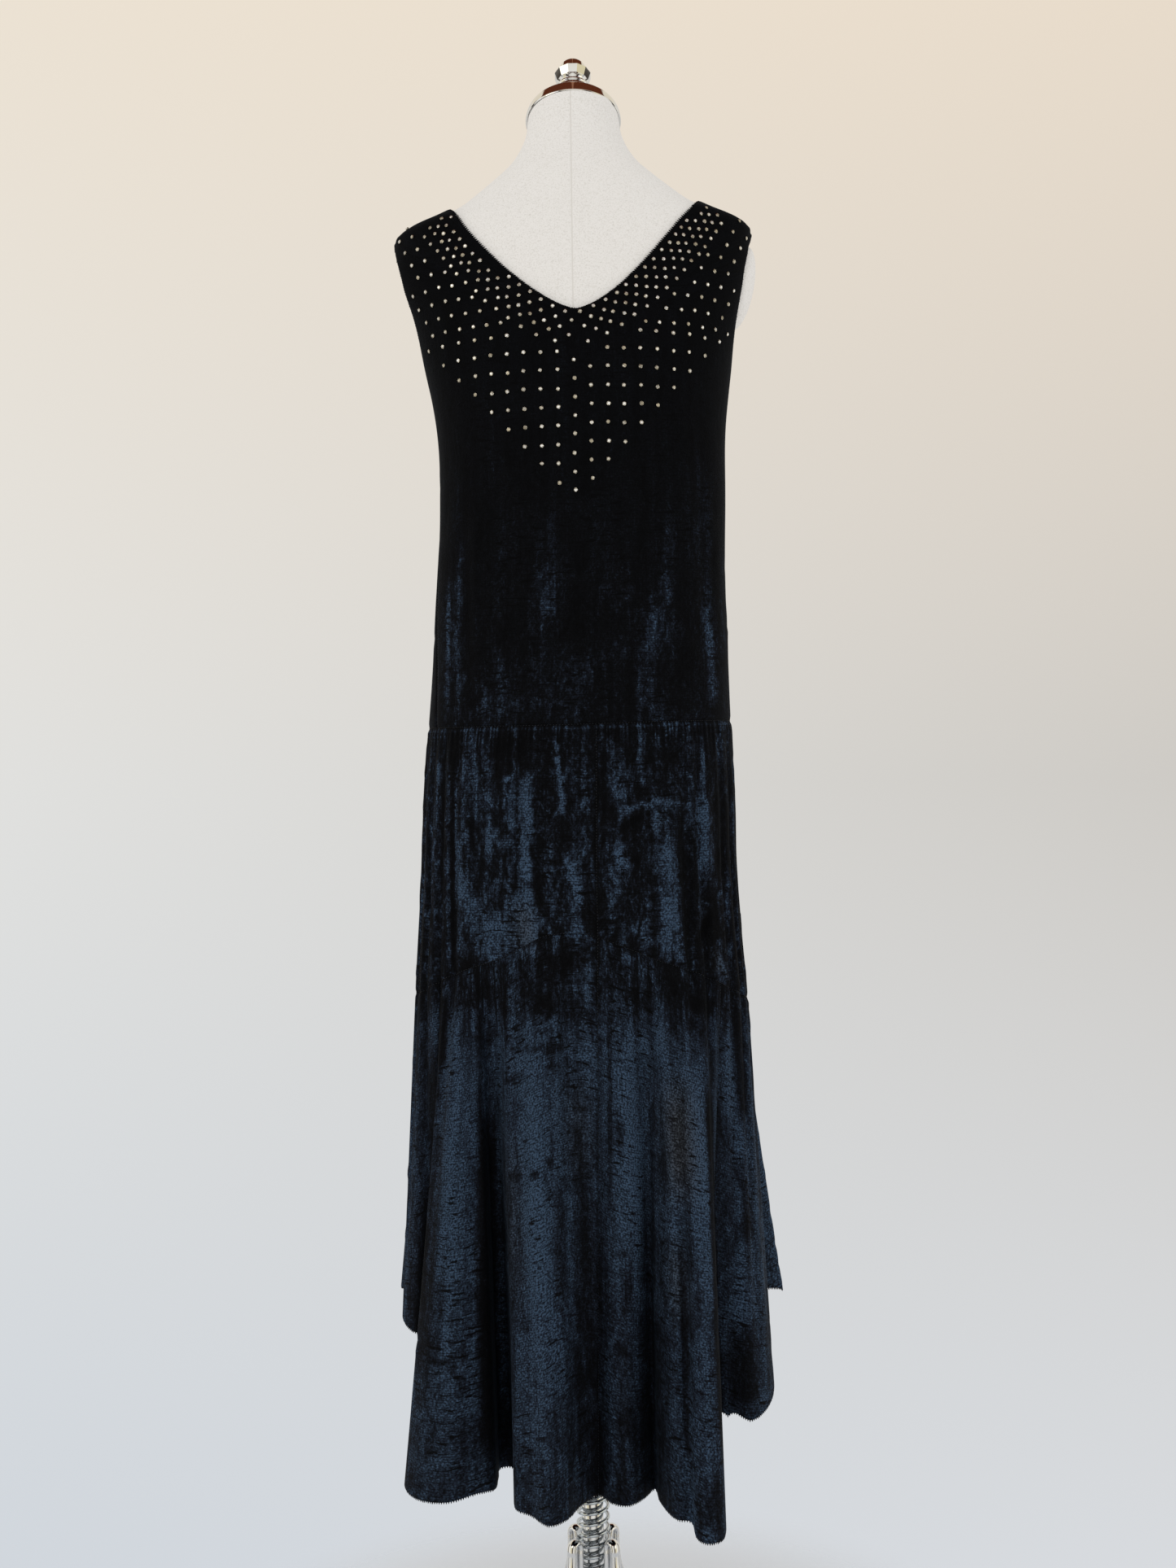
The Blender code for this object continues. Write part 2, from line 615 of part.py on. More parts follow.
# ---- Dress form ----
def form_point(angle, height):
    """The form under the cloth: the figure, moved in by the wall and the slack."""
    gap = WALL + slack_table(height)
    point = figure_point(angle, height) - figure_normal(angle, height) * gap[..., None]
    lean = ARM_PLATE["lean"] * (point[..., 2] - ARM_PLATE["height"])
    lean = lean + 4.0 * np.clip(ARM_PLATE["cut_from"] - height, 0.0, None)
    point[..., 0] = np.clip(point[..., 0], -ARM_PLATE["left_seat"] - lean,
                            ARM_PLATE["right_seat"] + lean)
    return point


def tilt_neck(points, height):
    """Turn the neck's rings forward, back edge up, more towards the top."""
    share = np.clip((height - NECK_BASE) / (NECK_TOP - NECK_BASE), 0.0, 1.0)
    lean = figure_table(height, 4)
    points = points.copy()
    points[..., 2] -= (points[..., 1] - lean) * math.tan(math.radians(NECK_TILT)) * share
    return points


def form_heights():
    """Ring heights of the torso: even to the bust, closer over the shoulders and neck."""
    lower = np.linspace(FORM_BOTTOM, 1.48, FORM_ROWS - 10)
    upper = [1.505, 1.53, 1.552, 1.566, 1.578, 1.592, 1.607, 1.622, 1.636, 1.652, NECK_TOP]
    return np.concatenate([lower, upper])


def make_form(material):
    angle = np.linspace(0.0, 360.0, FORM_COLUMNS, endpoint=False)
    points, faces = [], []
    heights = form_heights()
    for height in heights:
        ring_height = np.full(FORM_COLUMNS, height)
        ring = tilt_neck(form_point(angle, ring_height), ring_height)
        points.extend(ring)
    rows, columns = len(heights), FORM_COLUMNS
    for row in range(rows - 1):
        for column in range(columns):
            after = (column + 1) % columns
            faces.append((row * columns + column, row * columns + after,
                          (row + 1) * columns + after, (row + 1) * columns + column))
    faces.append(tuple(reversed(range(columns))))
    faces.append(tuple((rows - 1) * columns + column for column in range(columns)))
    return make_object("form_torso", points, faces, material, 60)


def make_arm_plate(name, side, seat, thick, material):
    """A flat oval disc on the form's cut at the armhole."""
    count = 20
    turn = np.linspace(0.0, 2 * math.pi, count, endpoint=False)

    def ring(share, stand_off):
        rise = share * ARM_PLATE["half_height"] * np.sin(turn)
        x = side * (seat + stand_off + ARM_PLATE["lean"] * rise)
        y = ARM_PLATE["middle"] + share * ARM_PLATE["half_width"] * np.cos(turn)
        return np.stack([x, y, ARM_PLATE["height"] + rise], axis=-1)

    low, bevel = ARM_PLATE["gap"], ARM_PLATE["bevel"]
    high = low + thick
    inset = 1.0 - bevel / ARM_PLATE["half_width"]
    rings = [ring(1.0, low), ring(1.0, high - bevel), ring(inset, high)]
    points = np.concatenate(rings)
    faces = []
    for level in range(len(rings) - 1):
        for i in range(count):
            after = (i + 1) % count
            faces.append((level * count + i, level * count + after,
                          (level + 1) * count + after, (level + 1) * count + i))
    faces.append(tuple(reversed(range(count))))
    faces.append(tuple(2 * count + i for i in range(count)))
    return make_object(name, points, faces, material, 50)


# ---- Turned and bent metal ----
def turned(name, profile, material, bore=None, sides=ROUND_SIDES, place=None, squared=()):
    """A profile of (radius, height) turned about +Z; squared rows are flat-sided knobs."""
    turn = np.arange(sides) * 2 * math.pi / sides
    rings = []
    for row, (radius, height) in enumerate(profile):
        reach = np.full(sides, radius)
        if row in squared:
            reach = np.where(np.arange(sides) % 2, radius * math.cos(math.pi / KNOB_SIDES), radius)
        rings.append(np.stack([reach * np.cos(turn), reach * np.sin(turn),
                               np.full(sides, height)], axis=-1))
    if bore is not None:
        low, high = profile[0][1], profile[-1][1]
        for height in (high, low):
            rings.append(np.stack([bore * np.cos(turn), bore * np.sin(turn),
                                   np.full(sides, height)], axis=-1))
    points = np.concatenate(rings)
    count = len(rings)
    faces = []
    for ring in range(count if bore is not None else count - 1):
        for i in range(sides):
            after, above = (i + 1) % sides, (ring + 1) % count
            faces.append((ring * sides + i, ring * sides + after,
                          above * sides + after, above * sides + i))
    if bore is None:
        faces.append(tuple(reversed(range(sides))))
        faces.append(tuple((count - 1) * sides + i for i in range(sides)))
    if place is not None:
        points = place(points)
    return make_object(name, points, faces, material, 35)


def on_neck(points):
    """From a turned piece's own frame to the top of the tilted neck."""
    tilt = math.radians(NECK_TILT)
    turn = np.array([[1, 0, 0],
                     [0, math.cos(tilt), math.sin(tilt)],
                     [0, -math.sin(tilt), math.cos(tilt)]])
    base = np.array([0.0, float(figure_table(NECK_TOP, 4)), NECK_TOP])
    return points @ turn.T + base


def make_finial(material):
    profile = list(FINIAL) + list(KNOB) + list(DOME)
    top_of_cap = CAP[-1][1]
    profile = [(radius, top_of_cap + height) for radius, height in profile]
    first = len(FINIAL)
    squared = range(first, first + len(KNOB))
    return turned("finial", profile, material, place=on_neck, squared=squared)


def swept(name, path, frames, half_width, half_height, sides, material):
    """A bar of oval section along a path; frames give its across and up directions."""
    turn = np.arange(sides) * 2 * math.pi / sides + math.pi / sides
    points, faces = [], []
    for centre, (across, up) in zip(path, frames):
        for a in turn:
            points.append(centre + across * half_width * math.cos(a)
                          + up * half_height * math.sin(a))
    for ring in range(len(path) - 1):
        for i in range(sides):
            after = (i + 1) % sides
            faces.append((ring * sides + i, ring * sides + after,
                          (ring + 1) * sides + after, (ring + 1) * sides + i))
    faces.append(tuple(reversed(range(sides))))
    faces.append(tuple((len(path) - 1) * sides + i for i in range(sides)))
    return make_object(name, points, faces, material, 50)


def leg_frames(turn):
    """Centre line of a leg and its section directions, in the leg's own upright plane."""
    knots = np.concatenate([[0.0], np.cumsum(np.linalg.norm(np.diff(LEG_PATH, axis=0), axis=1))])
    radius, height = np.array(LEG_PATH).T
    rows = np.linspace(0.0, len(knots) - 1, LEG_RINGS_PER_ROW * (len(knots) - 1) + 1)
    steps = np.interp(rows, np.arange(len(knots)), knots)
    r = curve(knots, radius, smooth_slopes(knots, radius), steps)
    z = curve(knots, height, smooth_slopes(knots, height), steps)
    out = np.array([math.sin(turn), -math.cos(turn), 0.0])
    across = np.array([math.cos(turn), math.sin(turn), 0.0])
    path = [out * a + np.array([0.0, 0.0, b]) for a, b in zip(r, z)]
    slopes = np.stack([np.gradient(r, steps), np.gradient(z, steps)], axis=-1)
    slopes[0] = (0.0, 1.0)
    slopes[-1] = (0.0, -1.0)
    frames = []
    for run, rise in unit(slopes):
        frames.append((across, out * -rise + np.array([0.0, 0.0, run])))
    return path, frames


def make_spring(material):
    """A round-wire helix from the top of the hub to the collar."""
    low = HUB_TOP + SPRING_WIRE + 0.0004
    high = COLLAR_BOTTOM - SPRING_WIRE - 0.0004
    count = SPRING_TURNS * SPRING_STEPS
    turn = np.arange(count + 1) * 2 * math.pi / SPRING_STEPS
    rise = np.linspace(low, high, count + 1)
    out = np.stack([np.cos(turn), np.sin(turn), 0 * turn], axis=-1)
    path = out * SPRING_RADIUS
    path[:, 2] = rise
    frames = [(direction, np.array([0.0, 0.0, 1.0])) for direction in out]
    return swept("spring", path, frames, SPRING_WIRE, SPRING_WIRE, SPRING_SIDES, material)


def make_stand(chrome, steel):
    post = [(POST_RADIUS, POST_BOTTOM), (POST_RADIUS, POST_TOP - PLATE_THICK),
            (PLATE_RADIUS, POST_TOP - PLATE_THICK), (PLATE_RADIUS, POST_TOP)]
    turned("post", post, chrome)
    turned("hub", [(HUB_RADIUS, HUB_BOTTOM), (HUB_RADIUS, HUB_TOP)], chrome, bore=HUB_BORE)
    collar = [(COLLAR_RADIUS, COLLAR_BOTTOM), (COLLAR_RADIUS, COLLAR_TOP)]
    turned("spring_collar", collar, chrome, bore=COLLAR_BORE)
    make_spring(steel)
    for i in range(4):
        turn = math.radians(LEG_TURN + 90.0 * i)
        path, frames = leg_frames(turn)
        swept(f"leg_{i + 1}", path, frames, LEG_HALF_WIDTH, LEG_HALF_HEIGHT, LEG_SIDES, chrome)
        end = path[-1] * np.array([1.0, 1.0, 0.0])
        foot = [(FOOT_RADIUS, 0.0), (FOOT_RADIUS, FOOT_TOP - 0.003), (FOOT_RADIUS - 0.003, FOOT_TOP)]
        turned(f"foot_{i + 1}", foot, chrome, sides=16, place=lambda points: points + end)


def main():
    for item in list(bpy.data.objects):
        bpy.data.objects.remove(item, do_unlink=True)
    bodice_velvet = make_material("black_velvet", (0.006, 0.007, 0.010), 0.75)
    skirt_velvet = make_material("navy_velvet", (0.010, 0.016, 0.030), 0.70)
    canvas = make_material("form_canvas", (0.62, 0.60, 0.56), 0.85)
    chrome = make_material("chrome", (0.80, 0.80, 0.80), 0.08, 1.0)
    steel = make_material("spring_steel", (0.72, 0.73, 0.74), 0.15, 1.0)

    make_bodice("bodice_back", False, bodice_velvet)
    make_bodice("bodice_front", True, bodice_velvet)
    for name, first, last in HIP_PANELS:
        make_hip_panel(name, first, last, skirt_velvet)
    for name, first, last, first_reach, last_reach in FLOUNCE_PANELS:
        make_flounce_panel(name, first, last, first_reach, last_reach, skirt_velvet)

    make_form(canvas)
    make_arm_plate("arm_plate_left", -1, ARM_PLATE["left_seat"], ARM_PLATE["left_thick"], canvas)
    make_arm_plate("arm_plate_right", 1, ARM_PLATE["right_seat"], ARM_PLATE["right_thick"],
                   canvas)
    turned("neck_cap", list(CAP), chrome, place=on_neck)
    make_finial(chrome)
    make_stand(chrome, steel)


main()
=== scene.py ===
import math

import bmesh
import bpy
import numpy as np
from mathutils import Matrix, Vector
from mathutils.bvhtree import BVHTree


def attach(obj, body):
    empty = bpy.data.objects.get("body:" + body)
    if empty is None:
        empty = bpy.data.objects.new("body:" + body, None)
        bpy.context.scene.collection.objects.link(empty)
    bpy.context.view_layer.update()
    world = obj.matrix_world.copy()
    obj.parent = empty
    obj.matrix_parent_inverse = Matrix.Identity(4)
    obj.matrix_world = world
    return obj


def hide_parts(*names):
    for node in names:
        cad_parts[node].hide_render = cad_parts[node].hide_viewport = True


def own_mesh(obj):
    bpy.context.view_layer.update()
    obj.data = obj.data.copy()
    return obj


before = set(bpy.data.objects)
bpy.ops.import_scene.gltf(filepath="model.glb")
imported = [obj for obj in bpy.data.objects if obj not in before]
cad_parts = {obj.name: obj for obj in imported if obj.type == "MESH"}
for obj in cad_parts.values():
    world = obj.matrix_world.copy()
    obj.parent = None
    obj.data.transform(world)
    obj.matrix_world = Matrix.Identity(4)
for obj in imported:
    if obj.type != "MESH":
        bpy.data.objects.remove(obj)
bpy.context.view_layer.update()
print("frame loaded:", len(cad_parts), "nodes")


# Colours are sRGB hex, turned to linear here.
def linear(hexColour):
    parts = [int(hexColour[i:i + 2], 16) / 255 for i in (1, 3, 5)]
    return tuple(p / 12.92 if p <= 0.04045 else ((p + 0.055) / 1.055) ** 2.4 for p in parts)


# One node with its settings; links are {input: socket or value}, stops fill a colour ramp,
# and out picks the output that is given back.
def addNode(tree, kind, links=None, out=0, stops=(), **settings):
    node = tree.nodes.new(kind)
    for key, value in settings.items():
        setattr(node, key, value)
    for key, value in (links or {}).items():
        if isinstance(value, bpy.types.NodeSocket):
            tree.links.new(value, node.inputs[key])
        elif value is not None:
            node.inputs[key].default_value = value
    for number, (position, colour) in enumerate(stops):
        ramp = node.color_ramp.elements
        element = ramp[number] if number < 2 else ramp.new(position)
        element.position, element.color = position, (*linear(colour), 1.0)
        if number == 0:
            ramp[1].position = 1.0
    return node if out is None else node.outputs[out]


def newMaterial(name):
    material = bpy.data.materials.new(name)
    material.use_nodes = True
    tree = material.node_tree
    return material, tree, tree.nodes["Principled BSDF"]


def newObject(name, data):
    item = bpy.data.objects.new(name, data)
    bpy.context.scene.collection.objects.link(item)
    return item


# Cloth surfaces: the same tables and curves as the solids have.
figureRows = (  # height, half width, back depth, front depth, sideways shift, forward lean
    (0.700, 0.1790, 0.134, 0.125, -0.0040, 0.000), (0.760, 0.1765, 0.132, 0.122, -0.0045, 0.000),
    (0.820, 0.1722, 0.130, 0.119, -0.0050, 0.000), (0.890, 0.1680, 0.128, 0.117, -0.0050, 0.000),
    (0.950, 0.1665, 0.126, 0.116, -0.0040, 0.000), (1.000, 0.1640, 0.123, 0.115, -0.0030, 0.000),
    (1.045, 0.1605, 0.119, 0.114, -0.0020, 0.000), (1.100, 0.1575, 0.112, 0.110, -0.0005, 0.000),
    (1.160, 0.1550, 0.106, 0.107, 0.0005, 0.000), (1.210, 0.1530, 0.104, 0.109, 0.0020, 0.000),
    (1.260, 0.1520, 0.107, 0.114, 0.0040, 0.000), (1.310, 0.1520, 0.112, 0.119, 0.0045, 0.000),
    (1.350, 0.1535, 0.116, 0.120, 0.0040, 0.000), (1.390, 0.1585, 0.118, 0.116, 0.0030, 0.000),
    (1.430, 0.1660, 0.116, 0.107, 0.0010, 0.000), (1.470, 0.1750, 0.110, 0.097, -0.0005, 0.000),
    (1.506, 0.1852, 0.102, 0.086, -0.0025, 0.000), (1.535, 0.1900, 0.095, 0.077, -0.0030, 0.000),
    (1.558, 0.1900, 0.088, 0.069, -0.0020, 0.000), (1.571, 0.1790, 0.083, 0.065, 0.0000, 0.000),
    (1.581, 0.1560, 0.078, 0.062, 0.0000, 0.000), (1.592, 0.1320, 0.074, 0.060, 0.0000, 0.000),
    (1.609, 0.1075, 0.069, 0.058, 0.0000, 0.001), (1.624, 0.0890, 0.064, 0.056, 0.0000, 0.003),
    (1.636, 0.0755, 0.060, 0.054, 0.0000, 0.005), (1.650, 0.0640, 0.055, 0.053, 0.0000, 0.008),
    (1.665, 0.0560, 0.052, 0.052, 0.0000, 0.010), (1.690, 0.0515, 0.051, 0.051, 0.0000, 0.012),
)
tierSeamRows = (  # angle, height
    (-180, 0.790), (-130, 0.772), (-98, 0.758), (-80, 0.759), (-68, 0.770), (-54, 0.786),
    (-32, 0.806), (-14, 0.827), (-2, 0.829), (12, 0.821), (32, 0.801), (52, 0.782),
    (66, 0.765), (80, 0.752), (94, 0.746), (120, 0.764), (150, 0.782), (180, 0.790),
)
sideEdgeRows = (  # height, left back, left front, right back, right front
    (1.000, 68, 68, 91, 91), (1.100, 75, 75, 91, 91), (1.200, 83, 83, 91, 91),
    (1.300, 90, 90, 90, 90), (1.393, 90, 90, 90, 90), (1.408, 86, 97, 86, 97),
    (1.430, 82, 104, 82, 104), (1.465, 80, 108, 80, 108), (1.505, 80, 107, 80, 107),
    (1.535, 82, 103, 82, 103), (1.549, 85.5, 97.5, 85.5, 97.5), (1.5565, 90, 90, 90, 90),
)
hipPleats = (  # angle at top, at bottom, depth, half width
    (-78.0, -80.0, 0.0050, 3.2), (-70.5, -71.0, 0.0065, 3.2), (-63.0, -62.5, 0.0060, 3.0),
    (-55.5, -54.5, 0.0045, 3.2), (46.0, 47.5, 0.0040, 3.4), (53.5, 55.0, 0.0055, 3.2),
    (66.0, 67.5, 0.0050, 3.2), (74.0, 75.0, 0.0065, 3.0), (82.0, 83.0, 0.0050, 3.4),
    (118.0, 119.0, 0.0055, 4.0), (132.0, 131.0, 0.0035, 4.5), (-134.0, -133.0, 0.0040, 4.5),
    (-119.0, -121.0, 0.0055, 4.0),
)
flounceRows = (  # angle at the seam, hem x, hem y, hem z
    (8, 0.006, -0.082, 0.251), (13, 0.021, -0.100, 0.250), (18, 0.035, -0.106, 0.250),
    (23, 0.051, -0.090, 0.250), (27, 0.064, -0.066, 0.250), (31, 0.068, -0.096, 0.250),
    (36, 0.084, -0.140, 0.250), (40, 0.097, -0.142, 0.248), (43, 0.101, -0.158, 0.240),
    (47, 0.111, -0.170, 0.239), (51, 0.127, -0.158, 0.238), (54, 0.132, -0.124, 0.243),
    (57, 0.124, -0.086, 0.250), (60, 0.118, -0.056, 0.262), (65, 0.141, -0.060, 0.322),
    (71, 0.165, -0.062, 0.318), (79, 0.186, -0.040, 0.326), (87, 0.195, 0.000, 0.338),
    (93, 0.188, 0.030, 0.350), (98, 0.180, 0.052, 0.362), (104, 0.215, 0.080, 0.410),
    (112, 0.176, 0.098, 0.420), (121, 0.170, 0.148, 0.405), (131, 0.126, 0.134, 0.414),
    (141, 0.102, 0.184, 0.400), (151, 0.064, 0.156, 0.408), (161, 0.032, 0.200, 0.396),
    (171, 0.002, 0.164, 0.404), (181, -0.035, 0.202, 0.396), (191, -0.068, 0.154, 0.405),
    (201, -0.108, 0.182, 0.398), (212, -0.130, 0.132, 0.412), (224, -0.174, 0.140, 0.404),
    (238, -0.178, 0.094, 0.420), (255, -0.208, 0.056, 0.427), (266, -0.188, 0.020, 0.432),
    (272, -0.199, -0.010, 0.419), (280, -0.197, -0.021, 0.413), (287, -0.182, -0.036, 0.405),
    (292, -0.164, -0.030, 0.408), (297, -0.147, -0.038, 0.290), (300, -0.174, -0.040, 0.268),
    (303, -0.195, -0.046, 0.254), (307, -0.181, -0.080, 0.250), (311, -0.147, -0.099, 0.253),
    (314, -0.119, -0.089, 0.257), (316, -0.101, -0.075, 0.256), (318, -0.098, -0.042, 0.254),
    (320, -0.097, -0.010, 0.252), (322, -0.086, -0.008, 0.252), (325, -0.080, -0.048, 0.252),
    (329, -0.077, -0.112, 0.251), (334, -0.061, -0.128, 0.251), (340, -0.043, -0.150, 0.250),
    (347, -0.027, -0.138, 0.250), (354, -0.012, -0.104, 0.250),
)
dress = {
    "wall": 0.0013, "sectionPower": 2.2, "angleStep": 0.5, "heightStep": 0.0008,
    "shoulderDrop": {"depth": 0.005, "from": 1.44, "tall": 0.13, "wide": 0.12},
    "levelNormals": {"below": 1.30, "fade": 0.12},     # the cloth hangs from there down, so they lie level
    "hipNormals": {"step": 0.6, "seamShare": 0.04}, "flounceNormals": {"step": 0.004, "seamShare": 0.08},
    "bust": {"angle": 152, "height": 1.315, "swell": 0.009, "wide": 17, "tall": 0.055},
    "hipSeam": {"height": 1.037, "tilt": 0.002, "rise": 0.0035},
    "backNeck": {"low": 1.454, "halfWidth": 0.135, "top": 1.590, "bend": 1.55},
    "frontNeck": {"low": 1.502, "halfWidth": 0.135, "top": 1.590, "bend": 2.0},
    "armholeRow": 1.478, "armholeBottom": 1.393, "shoulderTip": 1.5565, "rowCrowding": 1.35,
}


def curveSlopes(knots, values, levelled=True):
    step = np.diff(knots)
    rise = np.diff(values) / step
    slopes = np.empty(len(knots))
    slopes[1:-1] = (rise[:-1] * step[1:] + rise[1:] * step[:-1]) / (step[:-1] + step[1:])
    slopes[0], slopes[-1] = rise[0], rise[-1]
    if levelled:
        for i in range(1, len(knots) - 1):
            low, high = rise[i - 1], rise[i]
            limit = 3.0 * min(abs(low), abs(high))
            slopes[i] = 0.0 if low * high <= 0 else math.copysign(min(abs(slopes[i]), limit), low)
    return slopes


def curveAt(knots, values, slopes, at):
    at = np.clip(at, knots[0], knots[-1])
    i = np.clip(np.searchsorted(knots, at, side="right") - 1, 0, len(knots) - 2)
    step = knots[i + 1] - knots[i]
    t = (at - knots[i]) / step
    start = values[i] * (1 + 2 * t) * (1 - t) ** 2 + slopes[i] * step * t * (1 - t) ** 2
    return start + values[i + 1] * t * t * (3 - 2 * t) + slopes[i + 1] * step * t * t * (t - 1)


def tableCurve(rows):
    columns = np.array(rows, float).T
    slopes = [curveSlopes(columns[0], column) for column in columns[1:]]
    return lambda at, column=0: curveAt(columns[0], columns[column + 1], slopes[column], at)


figureTable, tierSeamTable, sideEdgeTable = map(tableCurve, (figureRows, tierSeamRows, sideEdgeRows))


def wrapped(angle):
    return (np.asarray(angle, float) + 180.0) % 360.0 - 180.0


def unit(vectors):
    return vectors / np.maximum(np.linalg.norm(vectors, axis=-1, keepdims=True), 1e-12)


def eased(value):
    value = np.clip(value, 0.0, 1.0)
    return value * value * (3 - 2 * value)


def sectionRadius(angle, height):
    turn = np.radians(angle)
    across, along = np.abs(np.sin(turn)), np.abs(np.cos(turn))
    halfWidth = figureTable(height, 0)
    depth = np.where(np.cos(turn) >= 0, figureTable(height, 1), figureTable(height, 2))
    power, bust = dress["sectionPower"], dress["bust"]
    radius = ((across / halfWidth) ** power + (along / depth) ** power) ** (-1.0 / power)
    for side in (-1, 1):
        off = wrapped(angle - side * bust["angle"]) / bust["wide"]
        up = (height - bust["height"]) / bust["tall"]
        radius = radius + bust["swell"] * np.exp(-off ** 2 - up ** 2)
    return radius


def shoulderFall(x, height):
    fall = dress["shoulderDrop"]
    high = np.clip((height - fall["from"]) / fall["tall"], 0, 1)
    return fall["depth"] * high * np.clip(-x / fall["wide"], 0, 1)


def figurePoint(angle, height):
    turn = np.radians(angle)
    radius = sectionRadius(angle, height)
    x = figureTable(height, 3) + radius * np.sin(turn)
    y = figureTable(height, 4) - radius * np.cos(turn)
    return np.stack([x, y, height - shoulderFall(x, height)], axis=-1)


def figureNormal(angle, height):
    turn, rise, level = dress["angleStep"], dress["heightStep"], dress["levelNormals"]
    across = figurePoint(angle + turn, height) - figurePoint(angle - turn, height)
    up = figurePoint(angle, height + rise) - figurePoint(angle, height - rise)
    normal = unit(np.cross(across, up))
    normal[..., 2] *= np.clip((np.asarray(height, float) - level["below"]) / level["fade"], 0.0, 1.0)
    return unit(normal)


def hipSeamHeight(angle):
    turn, seam = np.radians(angle), dress["hipSeam"]
    return seam["height"] + seam["tilt"] * np.sin(turn) + seam["rise"] * (1.0 - np.cos(turn))


def tierSeamHeight(angle):
    return tierSeamTable(wrapped(angle))


def hipPoint(angle, height):
    angle = np.asarray(angle, float)
    top, bottom = hipSeamHeight(angle), tierSeamHeight(angle)
    drop = np.clip((top - height) / (top - bottom), 0.0, 1.0)
    point = figurePoint(angle, height)
    outward = unit(point * np.array([1.0, 1.0, 0.0]))
    dip = np.zeros_like(point[..., 0])
    for angleTop, angleBottom, depth, halfWidth in hipPleats:
        middle = angleTop + (angleBottom - angleTop) * drop
        off = np.clip(np.abs(wrapped(angle - middle)) / halfWidth, 0.0, 1.0)
        dip = dip + depth * np.sqrt(drop) * np.cos(off * math.pi / 2) ** 2
    return point - outward * dip[..., None]


def levelNormal(before, after):
    along = after - before
    return unit(np.stack([along[..., 1], -along[..., 0], 0.0 * along[..., 0]], axis=-1))


# Each normal turns into its neighbour's at the seam that they share, so that the seams stay shut.
def hipNormal(angle, height):
    step, seamShare = dress["hipNormals"]["step"], dress["hipNormals"]["seamShare"]
    level = levelNormal(hipPoint(angle - step, height), hipPoint(angle + step, height))
    share = np.clip((hipSeamHeight(angle) - height) / seamShare, 0.0, 1.0)[..., None]
    return unit(figureNormal(angle, height) * (1 - share) + level * share)


# The flounce is made of straight lines from the tier seam to the hem.
flounceTable = np.vstack([np.array(flounceRows, float), np.array(flounceRows[0], float)])
flounceTable[-1, 0] += 360.0
flounceStep = np.linalg.norm(np.diff(flounceTable[:, 1:3], axis=0), axis=1)
flounceKnots = np.concatenate([[0.0], np.cumsum(np.sqrt(flounceStep))])
flounceAngleSlopes = curveSlopes(flounceKnots, flounceTable[:, 0])


def hemSlopes(values):
    step = np.diff(flounceKnots)
    rise = np.diff(values) / step
    slopes = curveSlopes(flounceKnots, values, False)
    slopes[0] = slopes[-1] = (rise[-1] * step[0] + rise[0] * step[-1]) / (step[0] + step[-1])
    return slopes


flounceHemSlopes = [hemSlopes(flounceTable[:, axis]) for axis in (1, 2, 3)]


def flounceAngle(at):
    return curveAt(flounceKnots, flounceTable[:, 0], flounceAngleSlopes, at)


def flouncePoint(at, down):
    at, down = np.broadcast_arrays(np.asarray(at, float), np.asarray(down, float))
    at = at % flounceKnots[-1]
    angle = flounceAngle(at)
    seam = hipPoint(angle, tierSeamHeight(angle))
    hem = [curveAt(flounceKnots, flounceTable[:, axis + 1], flounceHemSlopes[axis], at)
           for axis in range(3)]
    return seam + (np.stack(hem, axis=-1) - seam) * down[..., None]


def flounceNormal(at, down):
    step, seamShare = dress["flounceNormals"]["step"], dress["flounceNormals"]["seamShare"]
    level = levelNormal(flouncePoint(at - step, down), flouncePoint(at + step, down))
    angle = flounceAngle(at % flounceKnots[-1])
    share = np.clip(down / seamShare, 0.0, 1.0)[..., None]
    return unit(hipNormal(angle, tierSeamHeight(angle)) * (1 - share) + level * share)


def neckHeight(across, neck):
    share = (np.abs(across) / neck["halfWidth"]) ** neck["bend"]
    return neck["low"] + (neck["top"] - neck["low"]) * share


# Height at which the neckline crosses the figure at an angle, found by halving.
def neckEdgeHeight(angle, neck, front, halvings=40):
    low = np.full(np.shape(angle), neck["low"])
    high = np.full(np.shape(angle), neck["top"])
    turn = np.sin(np.radians(angle))
    for _ in range(halvings):
        middle = (low + high) / 2
        across = sectionRadius(180.0 - angle if front else angle, middle) * turn
        above = neckHeight(across, neck) > middle
        low, high = np.where(above, middle, low), np.where(above, high, middle)
    return (low + high) / 2


def bodiceEdgeAngle(height, side, front):
    angle = sideEdgeTable(height, (0 if side < 0 else 2) + (1 if front else 0))
    return 180.0 - angle if front else angle


print("cloth curves ready")


